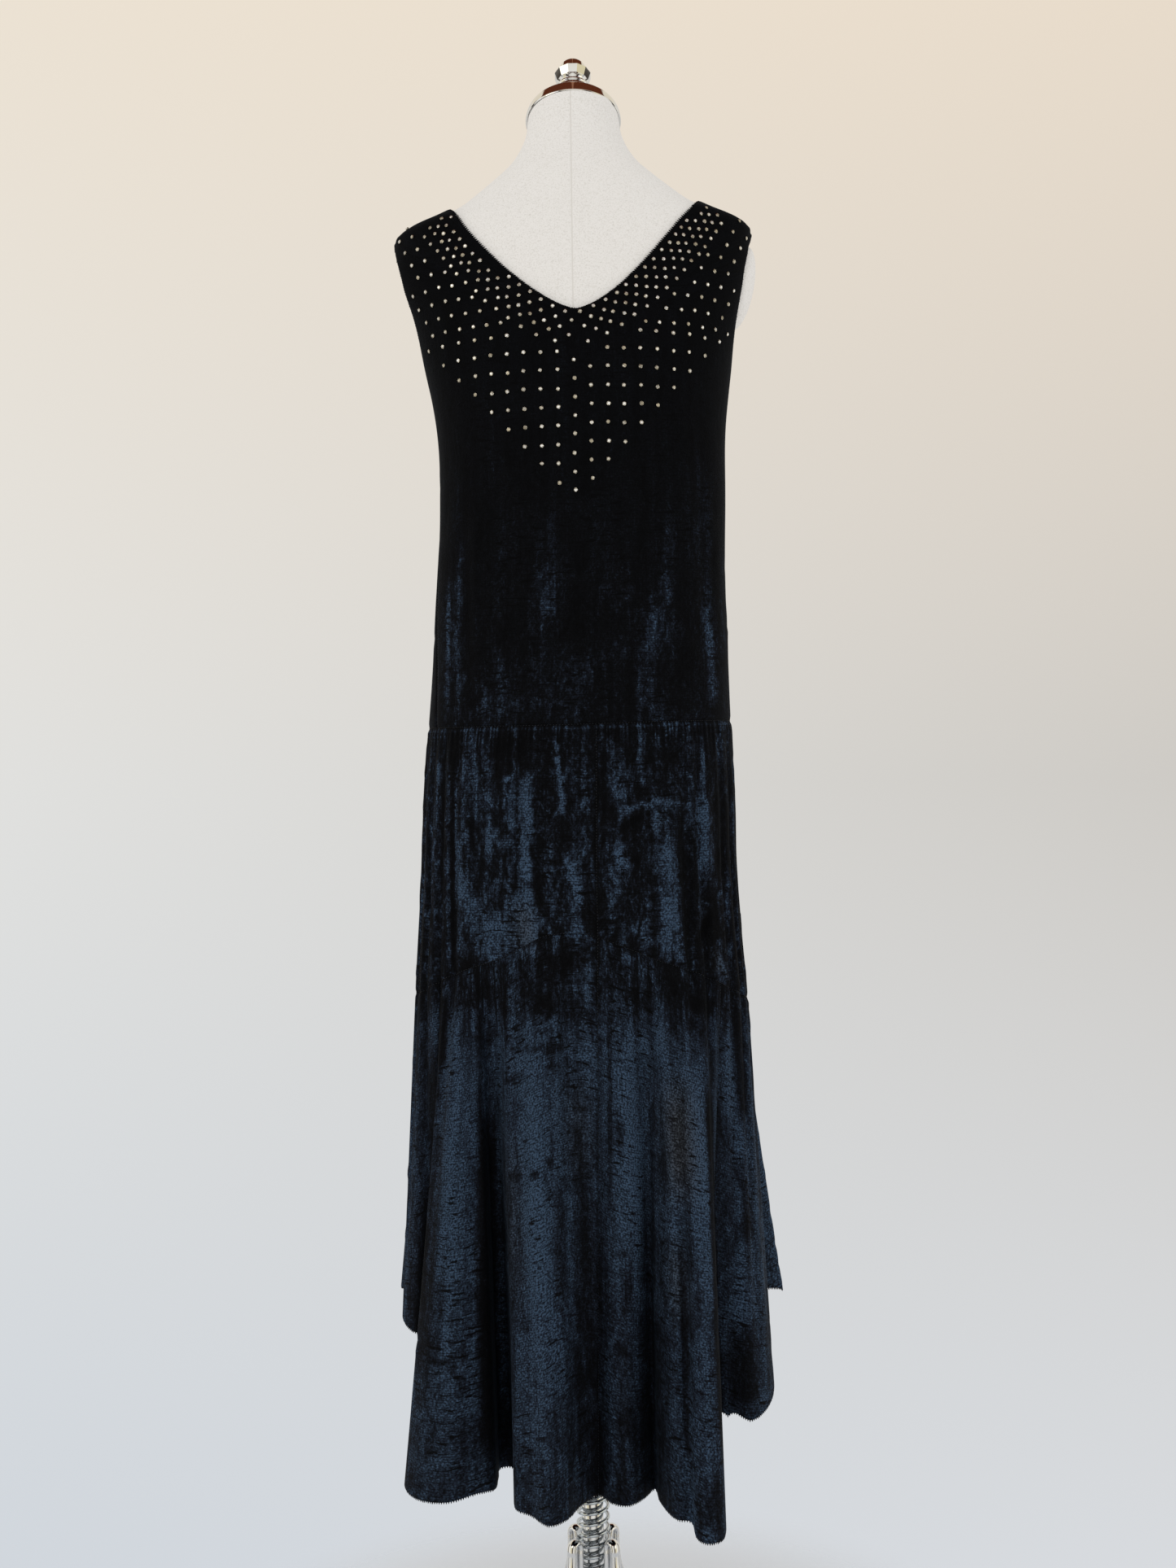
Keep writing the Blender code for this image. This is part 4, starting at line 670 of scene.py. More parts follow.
    blue = addNode(tree, "ShaderNodeValToRGB", {"Fac": tone}, stops=look["tones"])
    grey = addNode(tree, "ShaderNodeValToRGB", {"Fac": tone}, stops=look["warmTones"])
    colour = addNode(tree, "ShaderNodeMix", {"Factor": warm, "A": blue, "B": grey}, out=2, data_type="RGBA")
    tree.links.new(colour, shader.inputs["Base Color"])
    lift = 0.0
    for key, part in (("mottle", layer["mottle"]), ("crinkle", crinkle), ("pile", layer["pile"])):
        lift = addNode(tree, "ShaderNodeMath", {0: part, 1: look["lifts"][key], 2: lift},
                       operation="MULTIPLY_ADD")
    bump = addNode(tree, "ShaderNodeBump", {"Height": lift, "Strength": look["bumpStrength"],
                                            "Distance": look["bumpDepth"]})
    tree.links.new(bump, shader.inputs["Normal"])
    shader.inputs["Roughness"].default_value = look["roughness"]
    shader.inputs["Specular IOR Level"].default_value = look["specular"]
    shader.inputs["Sheen Weight"].default_value = look["sheen"]
    shader.inputs["Sheen Roughness"].default_value = look["sheenRoughness"]
    shader.inputs["Sheen Tint"].default_value = (*linear(look["sheenTint"]), 1.0)
    return material


bodiceVelvet = velvetMaterial("crushedVelvetBodice", velvetLook)
skirtVelvet = velvetMaterial("crushedVelvetSkirt", velvetLook)

# Cotton jersey stretched over the padded torso: off-white, with a fine knit, darker flecks and sunk seams.
jerseyLook = {
    "base": "#efece8", "fleck": "#d8d4cd", "seam": "#e0dcd6", "knitMm": 1.4, "fleckMm": 1.5,
    "flecks": (0.48, 0.72), "seamX": -0.0025, "seamMm": (0.4, 0.9), "seamDepth": 0.6, "bumpStrength": 0.4,
    "bumpDepth": 0.0005, "roughness": 0.9, "specular": 0.2,
}


def jerseyMaterial(name, look):
    material, tree, shader = newMaterial(name)
    place = addNode(tree, "ShaderNodeTexCoord", out="Object")
    knit = addNode(tree, "ShaderNodeTexNoise",
                   {"Vector": place, "Scale": 1000 / look["knitMm"], "Detail": 2.0}, out="Fac")
    fleck = addNode(tree, "ShaderNodeTexNoise",
                    {"Vector": place, "Scale": 1000 / look["fleckMm"], "Detail": 3.0, "Roughness": 0.7},
                    out="Fac")
    fleck = addNode(tree, "ShaderNodeMapRange", {"Value": fleck, "From Min": look["flecks"][0],
                                                 "From Max": look["flecks"][1]})
    base, dark, sunk = ((*linear(look[key]), 1.0) for key in ("base", "fleck", "seam"))
    colour = addNode(tree, "ShaderNodeMix", {"Factor": fleck, "A": base, "B": dark}, out=2, data_type="RGBA")
    across = addNode(tree, "ShaderNodeSeparateXYZ", {0: place}, out="X")
    off = addNode(tree, "ShaderNodeMath", {0: across, 1: look["seamX"]}, operation="SUBTRACT")
    off = addNode(tree, "ShaderNodeMath", {0: off}, operation="ABSOLUTE")
    seam = addNode(tree, "ShaderNodeMapRange",
                   {"Value": off, "From Min": look["seamMm"][0] / 1000, "From Max": look["seamMm"][1] / 1000,
                    "To Min": 1.0, "To Max": 0.0}, interpolation_type="SMOOTHSTEP")
    colour = addNode(tree, "ShaderNodeMix", {"Factor": seam, "A": colour, "B": sunk}, out=2, data_type="RGBA")
    tree.links.new(colour, shader.inputs["Base Color"])
    lift = addNode(tree, "ShaderNodeMath", {0: seam, 1: -look["seamDepth"], 2: knit},
                   operation="MULTIPLY_ADD")
    bump = addNode(tree, "ShaderNodeBump", {"Height": lift, "Strength": look["bumpStrength"],
                                            "Distance": look["bumpDepth"]})
    tree.links.new(bump, shader.inputs["Normal"])
    shader.inputs["Roughness"].default_value = look["roughness"]
    shader.inputs["Specular IOR Level"].default_value = look["specular"]
    return material


jersey = jerseyMaterial("cottonJersey", jerseyLook)


# Finishes with faint handling marks that blur them a little.
markedLooks = {
    # buffed plate, a clean and nearly white mirror
    "polishedChrome": {"colour": "#e6e7e7", "second": "#dcdddf", "roughness": 0.03, "markAmount": 0.04,
                       "markMm": 14.0, "evenness": 0.5, "metallic": 1.0},
    # drawn steel wire, bright and a little blue, streaked where it was coiled
    "brightSpringWire": {"colour": "#d3dbe1", "second": "#a3abb3", "roughness": 0.08, "markAmount": 0.08,
                         "markMm": 6.0, "evenness": 0.5, "metallic": 1.0},
    # stamped brass with a thin silvering, satin and warm where it is worn
    "silveredBrassCup": {"colour": "#dcd8ce", "second": "#b8b09c", "roughness": 0.20, "markAmount": 0.15,
                         "markMm": 18.0, "evenness": 0.3, "metallic": 1.0},
    # foil-backed cut glass throws light back like a metal, bright or champagne by turns
    "foiledCutGlass": {"colour": "#fdfdfb", "second": "#aea58f", "roughness": 0.10, "markAmount": 0.10,
                       "markMm": 11.0, "evenness": 0.10, "metallic": 0.45},
    # dyed silk, dull and uneven, to match the pile
    "silkThread": {"colour": "#14171d", "second": "#1d222b", "roughness": 0.6, "markAmount": 0.2,
                   "markMm": 3.0, "evenness": 0.4, "metallic": 0.0},
}
markSpan = (0.35, 0.75)                      # the part of the noise that the marks show


def markedMaterial(name, look):
    material, tree, shader = newMaterial(name)
    place = addNode(tree, "ShaderNodeTexCoord", out="Object")
    marks = addNode(tree, "ShaderNodeTexNoise",
                    {"Vector": place, "Scale": 1000 / look["markMm"], "Detail": 4.0}, out="Fac")
    spread = addNode(tree, "ShaderNodeMapRange",
                     {"Value": marks, "From Min": markSpan[0], "From Max": markSpan[1],
                      "To Min": look["roughness"], "To Max": look["roughness"] + look["markAmount"]})
    tree.links.new(spread, shader.inputs["Roughness"])
    blend = addNode(tree, "ShaderNodeMapRange", {"Value": marks, "From Min": 0.5 - look["evenness"],
                                                 "From Max": 0.5 + look["evenness"]})
    first, second = ((*linear(look[key]), 1.0) for key in ("colour", "second"))
    tints = addNode(tree, "ShaderNodeMix", {"Factor": blend, "A": first, "B": second}, out=2,
                    data_type="RGBA")
    tree.links.new(tints, shader.inputs["Base Color"])
    shader.inputs["Metallic"].default_value = look["metallic"]
    return material


chrome, springSteel, silverCup, cutGlass, silkThread = (markedMaterial(name, look)
                                                      for name, look in markedLooks.items())
print("materials ready")

# The bodice: a back and a front, each made as two halves that meet at the middle.
bodiceGrid = {"rowsBelow": 92, "rowsAbove": 46, "columns": 56, "crowding": 0.5, "seamLevel": 1.04}
bodiceRelief = {
    "crushes": 150, "crushBox": (-0.16, 0.16, 1.04, 1.50), "crushTop": 1.34, "crushFade": 0.14,
    "crushLeast": 0.12, "edgeFade": 0.012, "hipRoll": 0.0010, "sideRoll": 0.0008, "rollReach": 0.003,
    "sideTop": 1.39, "shirrPitch": 0.0125, "shirrHeight": 0.0010, "shirrReach": 0.016, "shirrFrom": 1.52,
    "shirrFade": 0.006, "shallowFrom": 1.28, "deepest": -0.0008, "paintedReliefShare": 0.6,
}
freeEdges = []           # points, way off the edge and outward normal of each finished edge
seamLines = []           # points and outward normal of each sewn edge


def bodiceHalf(side, front):
    neck = dress["frontNeck"] if front else dress["backNeck"]
    below = endShares(bodiceGrid["rowsBelow"], bodiceGrid["crowding"])
    above = np.linspace(0.0, 1.0, bodiceGrid["rowsAbove"] + 1)[1:]
    middleSeam = float(hipSeamHeight(180.0 if front else 0.0))
    edge = float(bodiceEdgeAngle(bodiceGrid["seamLevel"], side, front))
    sideSeam = float(hipSeamHeight(side * (180.0 - edge if front else edge)))
    upAngle = 90.0 * (1.0 - (1.0 - above) ** dress["rowCrowding"])
    innerAngle = np.concatenate([0 * below, upAngle])
    inner = np.concatenate([middleSeam + (neck["low"] - middleSeam) * below,
                            neckEdgeHeight(upAngle, neck, front)])
    outer = np.concatenate([sideSeam + (dress["armholeRow"] - sideSeam) * below,
                            dress["armholeRow"] + (dress["shoulderTip"] - dress["armholeRow"]) * above])
    outerAngle = bodiceEdgeAngle(outer, side, front)
    share = np.linspace(0.0, 1.0, bodiceGrid["columns"] + 1)[None, :]
    angle = innerAngle[:, None] + (outerAngle - innerAngle)[:, None] * share
    height = inner[:, None] + (outer - inner)[:, None] * share
    angle = side * (180.0 - angle) if front else side * angle
    height[0] = hipSeamHeight(angle[0])
    return figurePoint(angle, height), figureNormal(angle, height), outer


def makeBodice(name, front, seed):
    look, sheets = bodiceRelief, []
    for side in (-1, 1):
        grid, normal, outer = bodiceHalf(side, front)
        x, z = grid[..., 0], grid[..., 2]
        run, rest, drop, fall = edgeDistances(grid)
        relief = strokesAt(x, z, frontCreases if front else backCreases, *strokeShape["crease"])
        crushed = crushHeight(x, z, seed, look["crushes"], look["crushBox"])
        relief += np.clip((look["crushTop"] - z) / look["crushFade"], look["crushLeast"], 1.0) * crushed
        relief *= eased(np.minimum.reduce([rest, drop, fall]) / look["edgeFade"])
        relief -= look["hipRoll"] * nearEdge(drop, look["rollReach"])             # rolled into the hip seam
        relief -= look["sideRoll"] * nearEdge(rest, look["rollReach"]) * (z < look["sideTop"])
        gathers = np.sin(rest * 2 * math.pi / look["shirrPitch"]) * nearEdge(fall, look["shirrReach"])
        relief += look["shirrHeight"] * gathers * (z > look["shirrFrom"]) * eased(rest / look["shirrFade"])
        relief = np.where(z > look["shallowFrom"], np.maximum(relief, look["deepest"]), relief)
        # painted light: a share of the relief is painted into the pile's tone, lighter on ridges and darker
        # in troughs and seams as painted shade
        sheet = napAt(grid, relief * look["paintedReliefShare"], seed)
        sheet["place"] = clothPlace(side * run, drop, seed)
        grid = grid + normal * relief[..., None]
        neckRow, armRow = bodiceGrid["rowsBelow"], int(np.argmax(outer > dress["armholeBottom"]))
        neckOff, armOff = grid[neckRow:, 0] - grid[neckRow:, 1], grid[armRow:, -1] - grid[armRow:, -2]
        freeEdges.append((grid[neckRow:, 0], neckOff, normal[neckRow:, 0]))
        freeEdges.append((grid[armRow:, -1], armOff, normal[armRow:, -1]))
        seamLines.append((grid[0], normal[0]))
        if not front:
            seamLines.extend([(grid[:armRow, -1], normal[:armRow, -1]), (grid[-1], normal[-1])])
        sheet["points"] = grid
        turned = (side > 0) == front             # so that both halves face outwards
        sheets.append({key: part[::-1, ::-1] if turned else part[::-1] for key, part in sheet.items()})
    return clothPiece(name, sheets, bodiceVelvet)


pieces = {"bodice_back": makeBodice("bodiceBack", False, 11),
          "bodice_front": makeBodice("bodiceFront", True, 12)}
print("bodice made")

# The hip tier and the flounce, in the same panels as the solids.
skirtGrid = {"perRow": 12, "hipRows": 84, "hipCrowding": 0.6, "flounceRows": 120, "flounceCrowding": 0.5,
             "meanRadius": 0.15}
hipRelief = {
    "crushSeed": 20, "crushes": 420, "crushBox": (-0.05, 1.0, 0.74, 1.04), "edgeFade": 0.010,
    "tuckHeight": 0.0009, "tuckReach": 0.035, "tuckGap": 0.004, "tuckWaves": (1.9, 0.7, 1.0),
    "seamFade": 0.005, "seamRoll": 0.0011, "seamReach": 0.003, "sideRoll": 0.0010, "sideReach": 0.0025,
    "deepest": -0.0032, "gatherLightShare": 0.16, "gatherReach": 0.022, "gatherWaves": (3.1, 0.9, 2.0),
    "seamHighlightShare": 0.20, "lineDrop": 0.0035, "lineHalf": 0.0018,
}
flounceRelief = {
    "crushSeed": 30, "crushes": 520, "crushBox": (-0.05, 1.0, 0.24, 0.78), "edgeFade": 0.010,
    "seamFade": 0.006, "hemFade": 0.02, "hemLeast": 0.2, "seamRoll": 0.0011, "seamReach": 0.003,
    "sideRoll": 0.0009, "sideReach": 0.0025, "foldSpan": 2.0, "foldDepth": 0.03, "foldLightShare": 0.06,
    "hiddenFoldLightShare": 0.20,
}
hipPanels = (  # node, name, first and last row of the flounce's table, seed
    ("hip_back_right", "hipBackRight", 0, 17, 21), ("hip_front", "hipFront", 17, 37.5, 22),
    ("hip_back_left", "hipBackLeft", 37.5, 56, 23))
flouncePanels = (  # node, name, first and last row, how far down its edges reach, where they come free, seed
    ("flounce_back_right", "flounceBackRight", 0, 13, 1.00, 1.00, 1.0, 0.87, 31),
    ("flounce_side_right", "flounceSideRight", 13, 19, 0.87, 1.00, 1.0, 0.83, 32),
    ("flounce_front", "flounceFront", 19, 35, 0.83, 1.00, 1.0, 1.0, 33),
    ("flounce_side_left", "flounceSideLeft", 35, 40, 1.00, 0.74, 1.0, 1.0, 34),
    ("flounce_back_left", "flounceBackLeft", 40, 56, 1.00, 1.00, 0.74, 1.0, 35))


def panelPlaces(first, last):
    count = int(round((last - first) * skirtGrid["perRow"]))
    rows = np.linspace(first, last, count + 1)
    return np.interp(rows, np.arange(len(flounceKnots)), flounceKnots), rows


# Creases and crush marks, which die out towards a panel's edges.
def skirtRelief(grid, angle, distances, look):
    x, y, z = grid[..., 0], grid[..., 1], grid[..., 2]
    atBack = shareAtBack(y)
    relief = atBack * strokesAt(x, z, backCreases, *strokeShape["crease"])
    relief += (1 - atBack) * strokesAt(x, z, frontCreases, *strokeShape["crease"])
    around = np.radians(angle) * skirtGrid["meanRadius"]
    crushed = crushHeight(around, z, look["crushSeed"], look["crushes"], look["crushBox"])
    return relief + eased(np.minimum.reduce(distances) / look["edgeFade"]) * crushed


def makeHip(name, first, last, seed):
    look = hipRelief
    at, _ = panelPlaces(first, last)
    angle = flounceAngle(at)[None, :]
    down = endShares(skirtGrid["hipRows"], skirtGrid["hipCrowding"])[:, None]
    top, bottom = hipSeamHeight(angle), tierSeamHeight(angle)
    height = top + (bottom - top) * down
    angle = np.repeat(angle, len(down), axis=0)
    grid, normal = hipPoint(angle, height), hipNormal(angle, height)
    distances = edgeDistances(grid)
    run, rest, drop, fall = distances
    relief = skirtRelief(grid, angle, distances, look)
    wave, slowWave, shift = look["tuckWaves"]
    tucks = np.sin(angle * wave) * np.sin(angle * slowWave + shift)  # uneven, about 3 degrees each
    underSeam = 1 - nearEdge(drop, look["tuckGap"])
    relief += look["tuckHeight"] * tucks * nearEdge(drop, look["tuckReach"]) * underSeam
    relief = relief * eased(drop / look["seamFade"])
    relief -= look["seamRoll"] * (nearEdge(drop, look["seamReach"]) + nearEdge(fall, look["seamReach"]))
    relief -= look["sideRoll"] * (nearEdge(run, look["sideReach"]) + nearEdge(rest, look["sideReach"]))
    relief = np.maximum(relief, look["deepest"])
    sheet = napAt(grid, relief, seed)
    # painted light: the gathers under the hip seam get light and dark bands, and a painted highlight runs
    # along the seam's lower lip
    wave, slowWave, sway = look["gatherWaves"]
    gathers = np.sin(angle * wave + np.sin(angle * slowWave) * sway) * nearEdge(drop, look["gatherReach"])
    seamHighlight = nearEdge(drop - look["lineDrop"], look["lineHalf"])   # painted highlight along the seam's lower lip, where the cloth turns up under the seam
    paintedSeamLight = look["gatherLightShare"] * gathers + look["seamHighlightShare"] * seamHighlight
    sheet["napAndLight"] = np.clip(sheet["napAndLight"] + paintedSeamLight, 0, 1)
    sheet["place"] = clothPlace(run.mean(axis=0), drop, seed)
    sheet["points"] = grid + normal * relief[..., None]
    seamLines.extend([(sheet["points"][-1], normal[-1]), (sheet["points"][:, -1], normal[:, -1])])
    return clothPiece(name, [sheet], skirtVelvet)


# How far the hem swings out past its neighbours on both sides, from -1 in a valley to 1 on a ridge.
def foldRidge(rows, look):
    swing = np.hypot(flounceTable[:, 1], flounceTable[:, 2])
    places = np.arange(len(swing))
    before, after = (np.interp((rows + shift) % places[-1], places, swing)
                     for shift in (-look["foldSpan"], look["foldSpan"]))
    ridge = np.interp(rows, places, swing) - (before + after) / 2
    return np.clip(ridge / look["foldDepth"], -1.0, 1.0)


def makeFlounce(name, first, last, firstReach, lastReach, firstFree, lastFree, seed):
    look = flounceRelief
    at, rows = panelPlaces(first, last)
    start, end = np.clip(rows - first, 0.0, 1.0), np.clip(last - rows, 0.0, 1.0)
    reach = (firstReach + (1.0 - firstReach) * start) * (lastReach + (1.0 - lastReach) * end)
    down = endShares(skirtGrid["flounceRows"], skirtGrid["flounceCrowding"])[:, None] * reach[None, :]
    at = np.repeat(at[None, :], down.shape[0], axis=0)
    grid, normal = flouncePoint(at, down), flounceNormal(at, down)
    distances = edgeDistances(grid)
    run, rest, drop, fall = distances
    relief = skirtRelief(grid, flounceAngle(at), distances, look)
    relief *= eased(drop / look["seamFade"]) * np.clip(fall / look["hemFade"], look["hemLeast"], 1.0)
    relief -= look["seamRoll"] * nearEdge(drop, look["seamReach"])
    relief -= look["sideRoll"] * (nearEdge(run, look["sideReach"]) + nearEdge(rest, look["sideReach"]))
    sheet = napAt(grid, relief, seed)
    # painted light: the flounce's ridges are painted lighter and its valleys darker as painted shade, more
    # strongly on the hidden sides
    share = look["foldLightShare"] + look["hiddenFoldLightShare"] * (1 - shareAtBack(grid[..., 1]))
    foldLight = foldRidge(rows, look)[None, :] * np.clip(down * 2, 0, 1)
    sheet["napAndLight"] = np.clip(sheet["napAndLight"] + foldLight * share, 0, 1)
    sheet["place"] = clothPlace(run.mean(axis=0), drop, seed)
    points = grid + normal * relief[..., None]
    sheet["points"] = points
    freeEdges.append((points[-1], points[-1] - points[-2], normal[-1]))
    for column, inside, free in ((0, 1, firstFree), (-1, -2, lastFree)):
        loose = down[:, column] >= free
        if loose.sum() > 1:
            off = points[loose, column] - points[loose, inside]
            freeEdges.append((points[loose, column], off, normal[loose, column]))
    sewn = down[:, -1] <= min(lastFree, lastReach)
    seamLines.append((points[sewn, -1], normal[sewn, -1]))
    return clothPiece(name, [sheet], skirtVelvet)


for node, name, first, last, seed in hipPanels:
    pieces[node] = makeHip(name, first, last, seed)
print("hip tier made")
for node, name, *places in flouncePanels:
    pieces[node] = makeFlounce(name, *places)
print("flounce made")


# Small repeated things: one tree sets a shape on every point, turned to the point's directions.
repeatTree = bpy.data.node_groups.new("shapeOnEachPoint", "GeometryNodeTree")
treeSockets = (("Points", "Geometry", "INPUT"), ("Shape", "Object", "INPUT"),
               ("Material", "Material", "INPUT"), ("Lean", "Float", "INPUT"), ("Turn", "Float", "INPUT"),
               ("Smallest", "Float", "INPUT"), ("Seed", "Int", "INPUT"), ("Mesh", "Geometry", "OUTPUT"))
for label, kind, way in treeSockets:
    repeatTree.interface.new_socket(name=label, in_out=way, socket_type="NodeSocket" + kind)
given = addNode(repeatTree, "NodeGroupInput", out=None).outputs
facing, along = (addNode(repeatTree, "GeometryNodeInputNamedAttribute", {"Name": key},
                         data_type="FLOAT_VECTOR") for key in ("facing", "along"))
turned = addNode(repeatTree, "FunctionNodeAlignRotationToVector", {"Vector": facing}, axis="Z")
turned = addNode(repeatTree, "FunctionNodeAlignRotationToVector", {"Rotation": turned, "Vector": along},
                 axis="X", pivot_axis="Z")
most = addNode(repeatTree, "ShaderNodeCombineXYZ", {0: given["Lean"], 1: given["Lean"], 2: given["Turn"]})
least = addNode(repeatTree, "ShaderNodeVectorMath", {0: most, 1: (-1.0, -1.0, -1.0)}, operation="MULTIPLY")
wobble = addNode(repeatTree, "FunctionNodeRandomValue", {0: least, 1: most, "Seed": given["Seed"]},
                 data_type="FLOAT_VECTOR")
wobble = addNode(repeatTree, "FunctionNodeEulerToRotation", {"Euler": wobble})
turned = addNode(repeatTree, "FunctionNodeRotateRotation", {"Rotation": turned, "Rotate By": wobble},
                 rotation_space="LOCAL")
shape = addNode(repeatTree, "GeometryNodeObjectInfo", {"Object": given["Shape"], "As Instance": True},
                out="Geometry")
scaled = addNode(repeatTree, "FunctionNodeRandomValue",
                 {"Min": given["Smallest"], "Max": 1.0, "Seed": given["Seed"]}, out=1, data_type="FLOAT")
placed = addNode(repeatTree, "GeometryNodeInstanceOnPoints",
                 {"Points": given["Points"], "Instance": shape, "Rotation": turned, "Scale": scaled})
placed = addNode(repeatTree, "GeometryNodeRealizeInstances", {"Geometry": placed})
placed = addNode(repeatTree, "GeometryNodeSetMaterial", {"Geometry": placed, "Material": given["Material"]})
addNode(repeatTree, "NodeGroupOutput", {"Mesh": placed}, out=None)


def plainMesh(name, points, faces):
    mesh = bpy.data.meshes.new(name)
    mesh.from_pydata([tuple(map(float, p)) for p in points], [], [tuple(map(int, face)) for face in faces])
    work = bmesh.new()
    work.from_mesh(mesh)
    bmesh.ops.recalc_face_normals(work, faces=work.faces)
    work.to_mesh(mesh)
    work.free()
    return mesh


# Gives the finished object of a tree: the modifier's inputs are set by identifier, then the result is
# kept as a mesh.
def fromTree(name, tree, carrier, values):
    item = newObject(name + "Carrier", carrier)
    modifier = item.modifiers.new("tree", "NODES")
    modifier.node_group = tree
    for socket in tree.interface.items_tree:
        if socket.in_out == "INPUT" and socket.name in values:
            modifier[socket.identifier] = values[socket.name]
    bpy.context.view_layer.update()
    shown = item.evaluated_get(bpy.context.evaluated_depsgraph_get())
    mesh = bpy.data.meshes.new_from_object(shown)
    mesh.name = name
    for attribute in [a.name for a in mesh.attributes if a.name in ("facing", "along")]:
        mesh.attributes.remove(mesh.attributes[attribute])
    bpy.data.objects.remove(item)
    return newObject(name, mesh)


# Sets a small shape on every place; it leans and turns at random by up to so many radians.
def repeated(name, shapeMesh, places, facings, alongs, material, lean, turn, smallest, seed):
    carrier = bpy.data.meshes.new(name + "Points")
    carrier.from_pydata(np.asarray(places, float).tolist(), [], [])
    for key, vectors in (("facing", facings), ("along", alongs)):
        attribute = carrier.attributes.new(key, "FLOAT_VECTOR", "POINT")
        attribute.data.foreach_set("vector", unit(np.asarray(vectors, float)).astype(np.float32).reshape(-1))
    shapeItem = newObject(name + "Shape", shapeMesh)
    values = {"Shape": shapeItem, "Lean": lean, "Turn": turn, "Smallest": smallest, "Seed": seed,
              "Material": material}
    piece = fromTree(name, repeatTree, carrier, values)
    bpy.data.objects.remove(shapeItem)
    return piece


# Faces between rings of points, each ring's points in the same order, with the end rings filled or open.
def ringFaces(rings, sides, closeBottom=True, closeTop=True):
    faces = []
    for row in range(rings - 1):
        low, high = row * sides, (row + 1) * sides
        for i in range(sides):
            after = (i + 1) % sides
            faces.append((low + i, low + after, high + after, high + i))
    if closeBottom:
        faces.append(tuple(reversed(range(sides))))
    if closeTop:
        faces.append(tuple((rings - 1) * sides + i for i in range(sides)))
    return faces


def ringPoints(rings, sides, turnShare=0.0):
    points = []
    for row, (radius, height) in enumerate(rings):
        turns = [(i + turnShare * row) * 2 * math.pi / sides for i in range(sides)]
        points.extend((radius * math.cos(a), radius * math.sin(a), height) for a in turns)
    return points


# Stones: a close band under the neckline, then a wide lattice that ends in a point.
stones = {
    "leftOffsets": (0.0050, 0.0140, 0.0222, 0.0290, 0.0388), "frontOffsets": (0.0050, 0.0135, 0.0220),
    "rightOffsets": (0.0038, 0.0110, 0.0182, 0.0255, 0.0335), "sideBlend": 0.06,
    "bandPitch": 0.0133, "bandReach": 0.128, "bandShift": 0.32, "closerFrom": 0.115, "closer": 0.8,
    "middle": -0.0023, "tip": 1.2724, "firstRow": 1.2805, "columns": 11, "rows": 16,
    "columnPitch": 0.0167, "rowPitch": 0.0185, "rightRise": 0.0035, "fieldTop": 1.436, "fieldFrom": 0.0445,
    "rightCloser": 0.004, "rightFrom": 0.02, "shoulderGap": 0.006, "shoulderRows": 9,
    "shoulderColumns": 14, "shoulderRow": 0.0152, "shoulderPitch": 0.0145,
    "margin": 0.0055, "jitter": 0.0007, "nearSide": 0.03, "seed": 5, "lift": 0.0002,
    "setting": {"lean": 0.14, "turn": 0.6, "smallest": 0.9, "seed": 3}, "along": (1.0, 0.0, 0.2),
    "sides": 8, "prongs": 4,
    "cupRings": ((0.00150, -0.0004), (0.00205, 0.0002), (0.00215, 0.0009), (0.00180, 0.0010)),
    "glassRings": ((0.00175, 0.0006), (0.00178, 0.0010), (0.00105, 0.0017)),
    "prongRows": ((0.0021, 0.0005, 0.0007), (0.0016, 0.0004, 0.0016), (0.0011, 0.0001, 0.0016)),
}                                            # a prong's rows: reach, half width, height
neckSide = np.linspace(-1.0, 1.0, 801)


# A line down from the neckline by one offset at the left and another at the right.
def neckBand(leftOffset, rightOffset, neck):
    x = neckSide * stones["bandReach"]
    z = neckHeight(x, neck)
    offset = leftOffset + (rightOffset - leftOffset) * eased(0.5 + x / stones["sideBlend"])
    slope = np.gradient(z, x)
    size = np.sqrt(1 + slope ** 2)
    x, z = x + offset * slope / size, z - offset / size
    return x, z - shoulderFall(x, z)


# Places an even pitch apart, measured along the neckline from its middle, closer at the shoulders.
def spacedAlong(x, z, neck, shift):
    pitch = stones["bandPitch"]
    edge = neckBand(0.0, 0.0, neck)
    length = np.concatenate([[0.0], np.cumsum(np.hypot(*np.diff(edge)))])
    middle = length[len(length) // 2]
    count = int(middle / pitch * 1.4)        # more than reach, and those past the ends are dropped
    at = (np.arange(-count, count + 1) + shift) * pitch
    over = np.maximum(np.abs(at) - stones["closerFrom"], 0.0)
    at = middle + at - np.sign(at) * over * (1 - stones["closer"])
    at = at[(at > 0) & (at < length[-1])]
    return np.stack([np.interp(at, length, x), np.interp(at, length, z)], axis=-1)


# The lattice: upright columns under the bands, then staggered rows up to the shoulders.
def stoneField():
    edgeX, edgeZ = neckBand(0.0, 0.0, dress["backNeck"])
    wanted = []
    for k in range(-stones["columns"], stones["columns"] + 1):
        x = stones["middle"] + k * stones["columnPitch"]
        low = stones["tip"] if k == 0 else stones["firstRow"] + (abs(k) - 1) * stones["rowPitch"]
        for j in range(stones["rows"]):
            z = low + j * stones["rowPitch"] + (stones["rightRise"] if k > 0 else 0.0)
            if z < stones["fieldTop"]:
                wanted.append((x, z))
    for j in range(stones["shoulderRows"]):
        z = stones["fieldTop"] + stones["shoulderGap"] + j * stones["shoulderRow"]
        for k in range(-stones["shoulderColumns"], stones["shoulderColumns"] + 1):
            wanted.append((stones["middle"] + (k + 0.5 * (j % 2)) * stones["shoulderPitch"], z))
    kept = []
    for x, z in wanted:
        clear = stones["fieldFrom"] - (stones["rightCloser"] if x > stones["rightFrom"] else 0.0)
        if np.hypot(edgeX - x, edgeZ - z).min() > clear and z < neckHeight(x, dress["backNeck"]):
            kept.append((x, z))
    return kept


def clothTree(piece):
    mesh = piece.data
    return BVHTree.FromPolygons([v.co[:] for v in mesh.vertices], [p.vertices[:] for p in mesh.polygons])


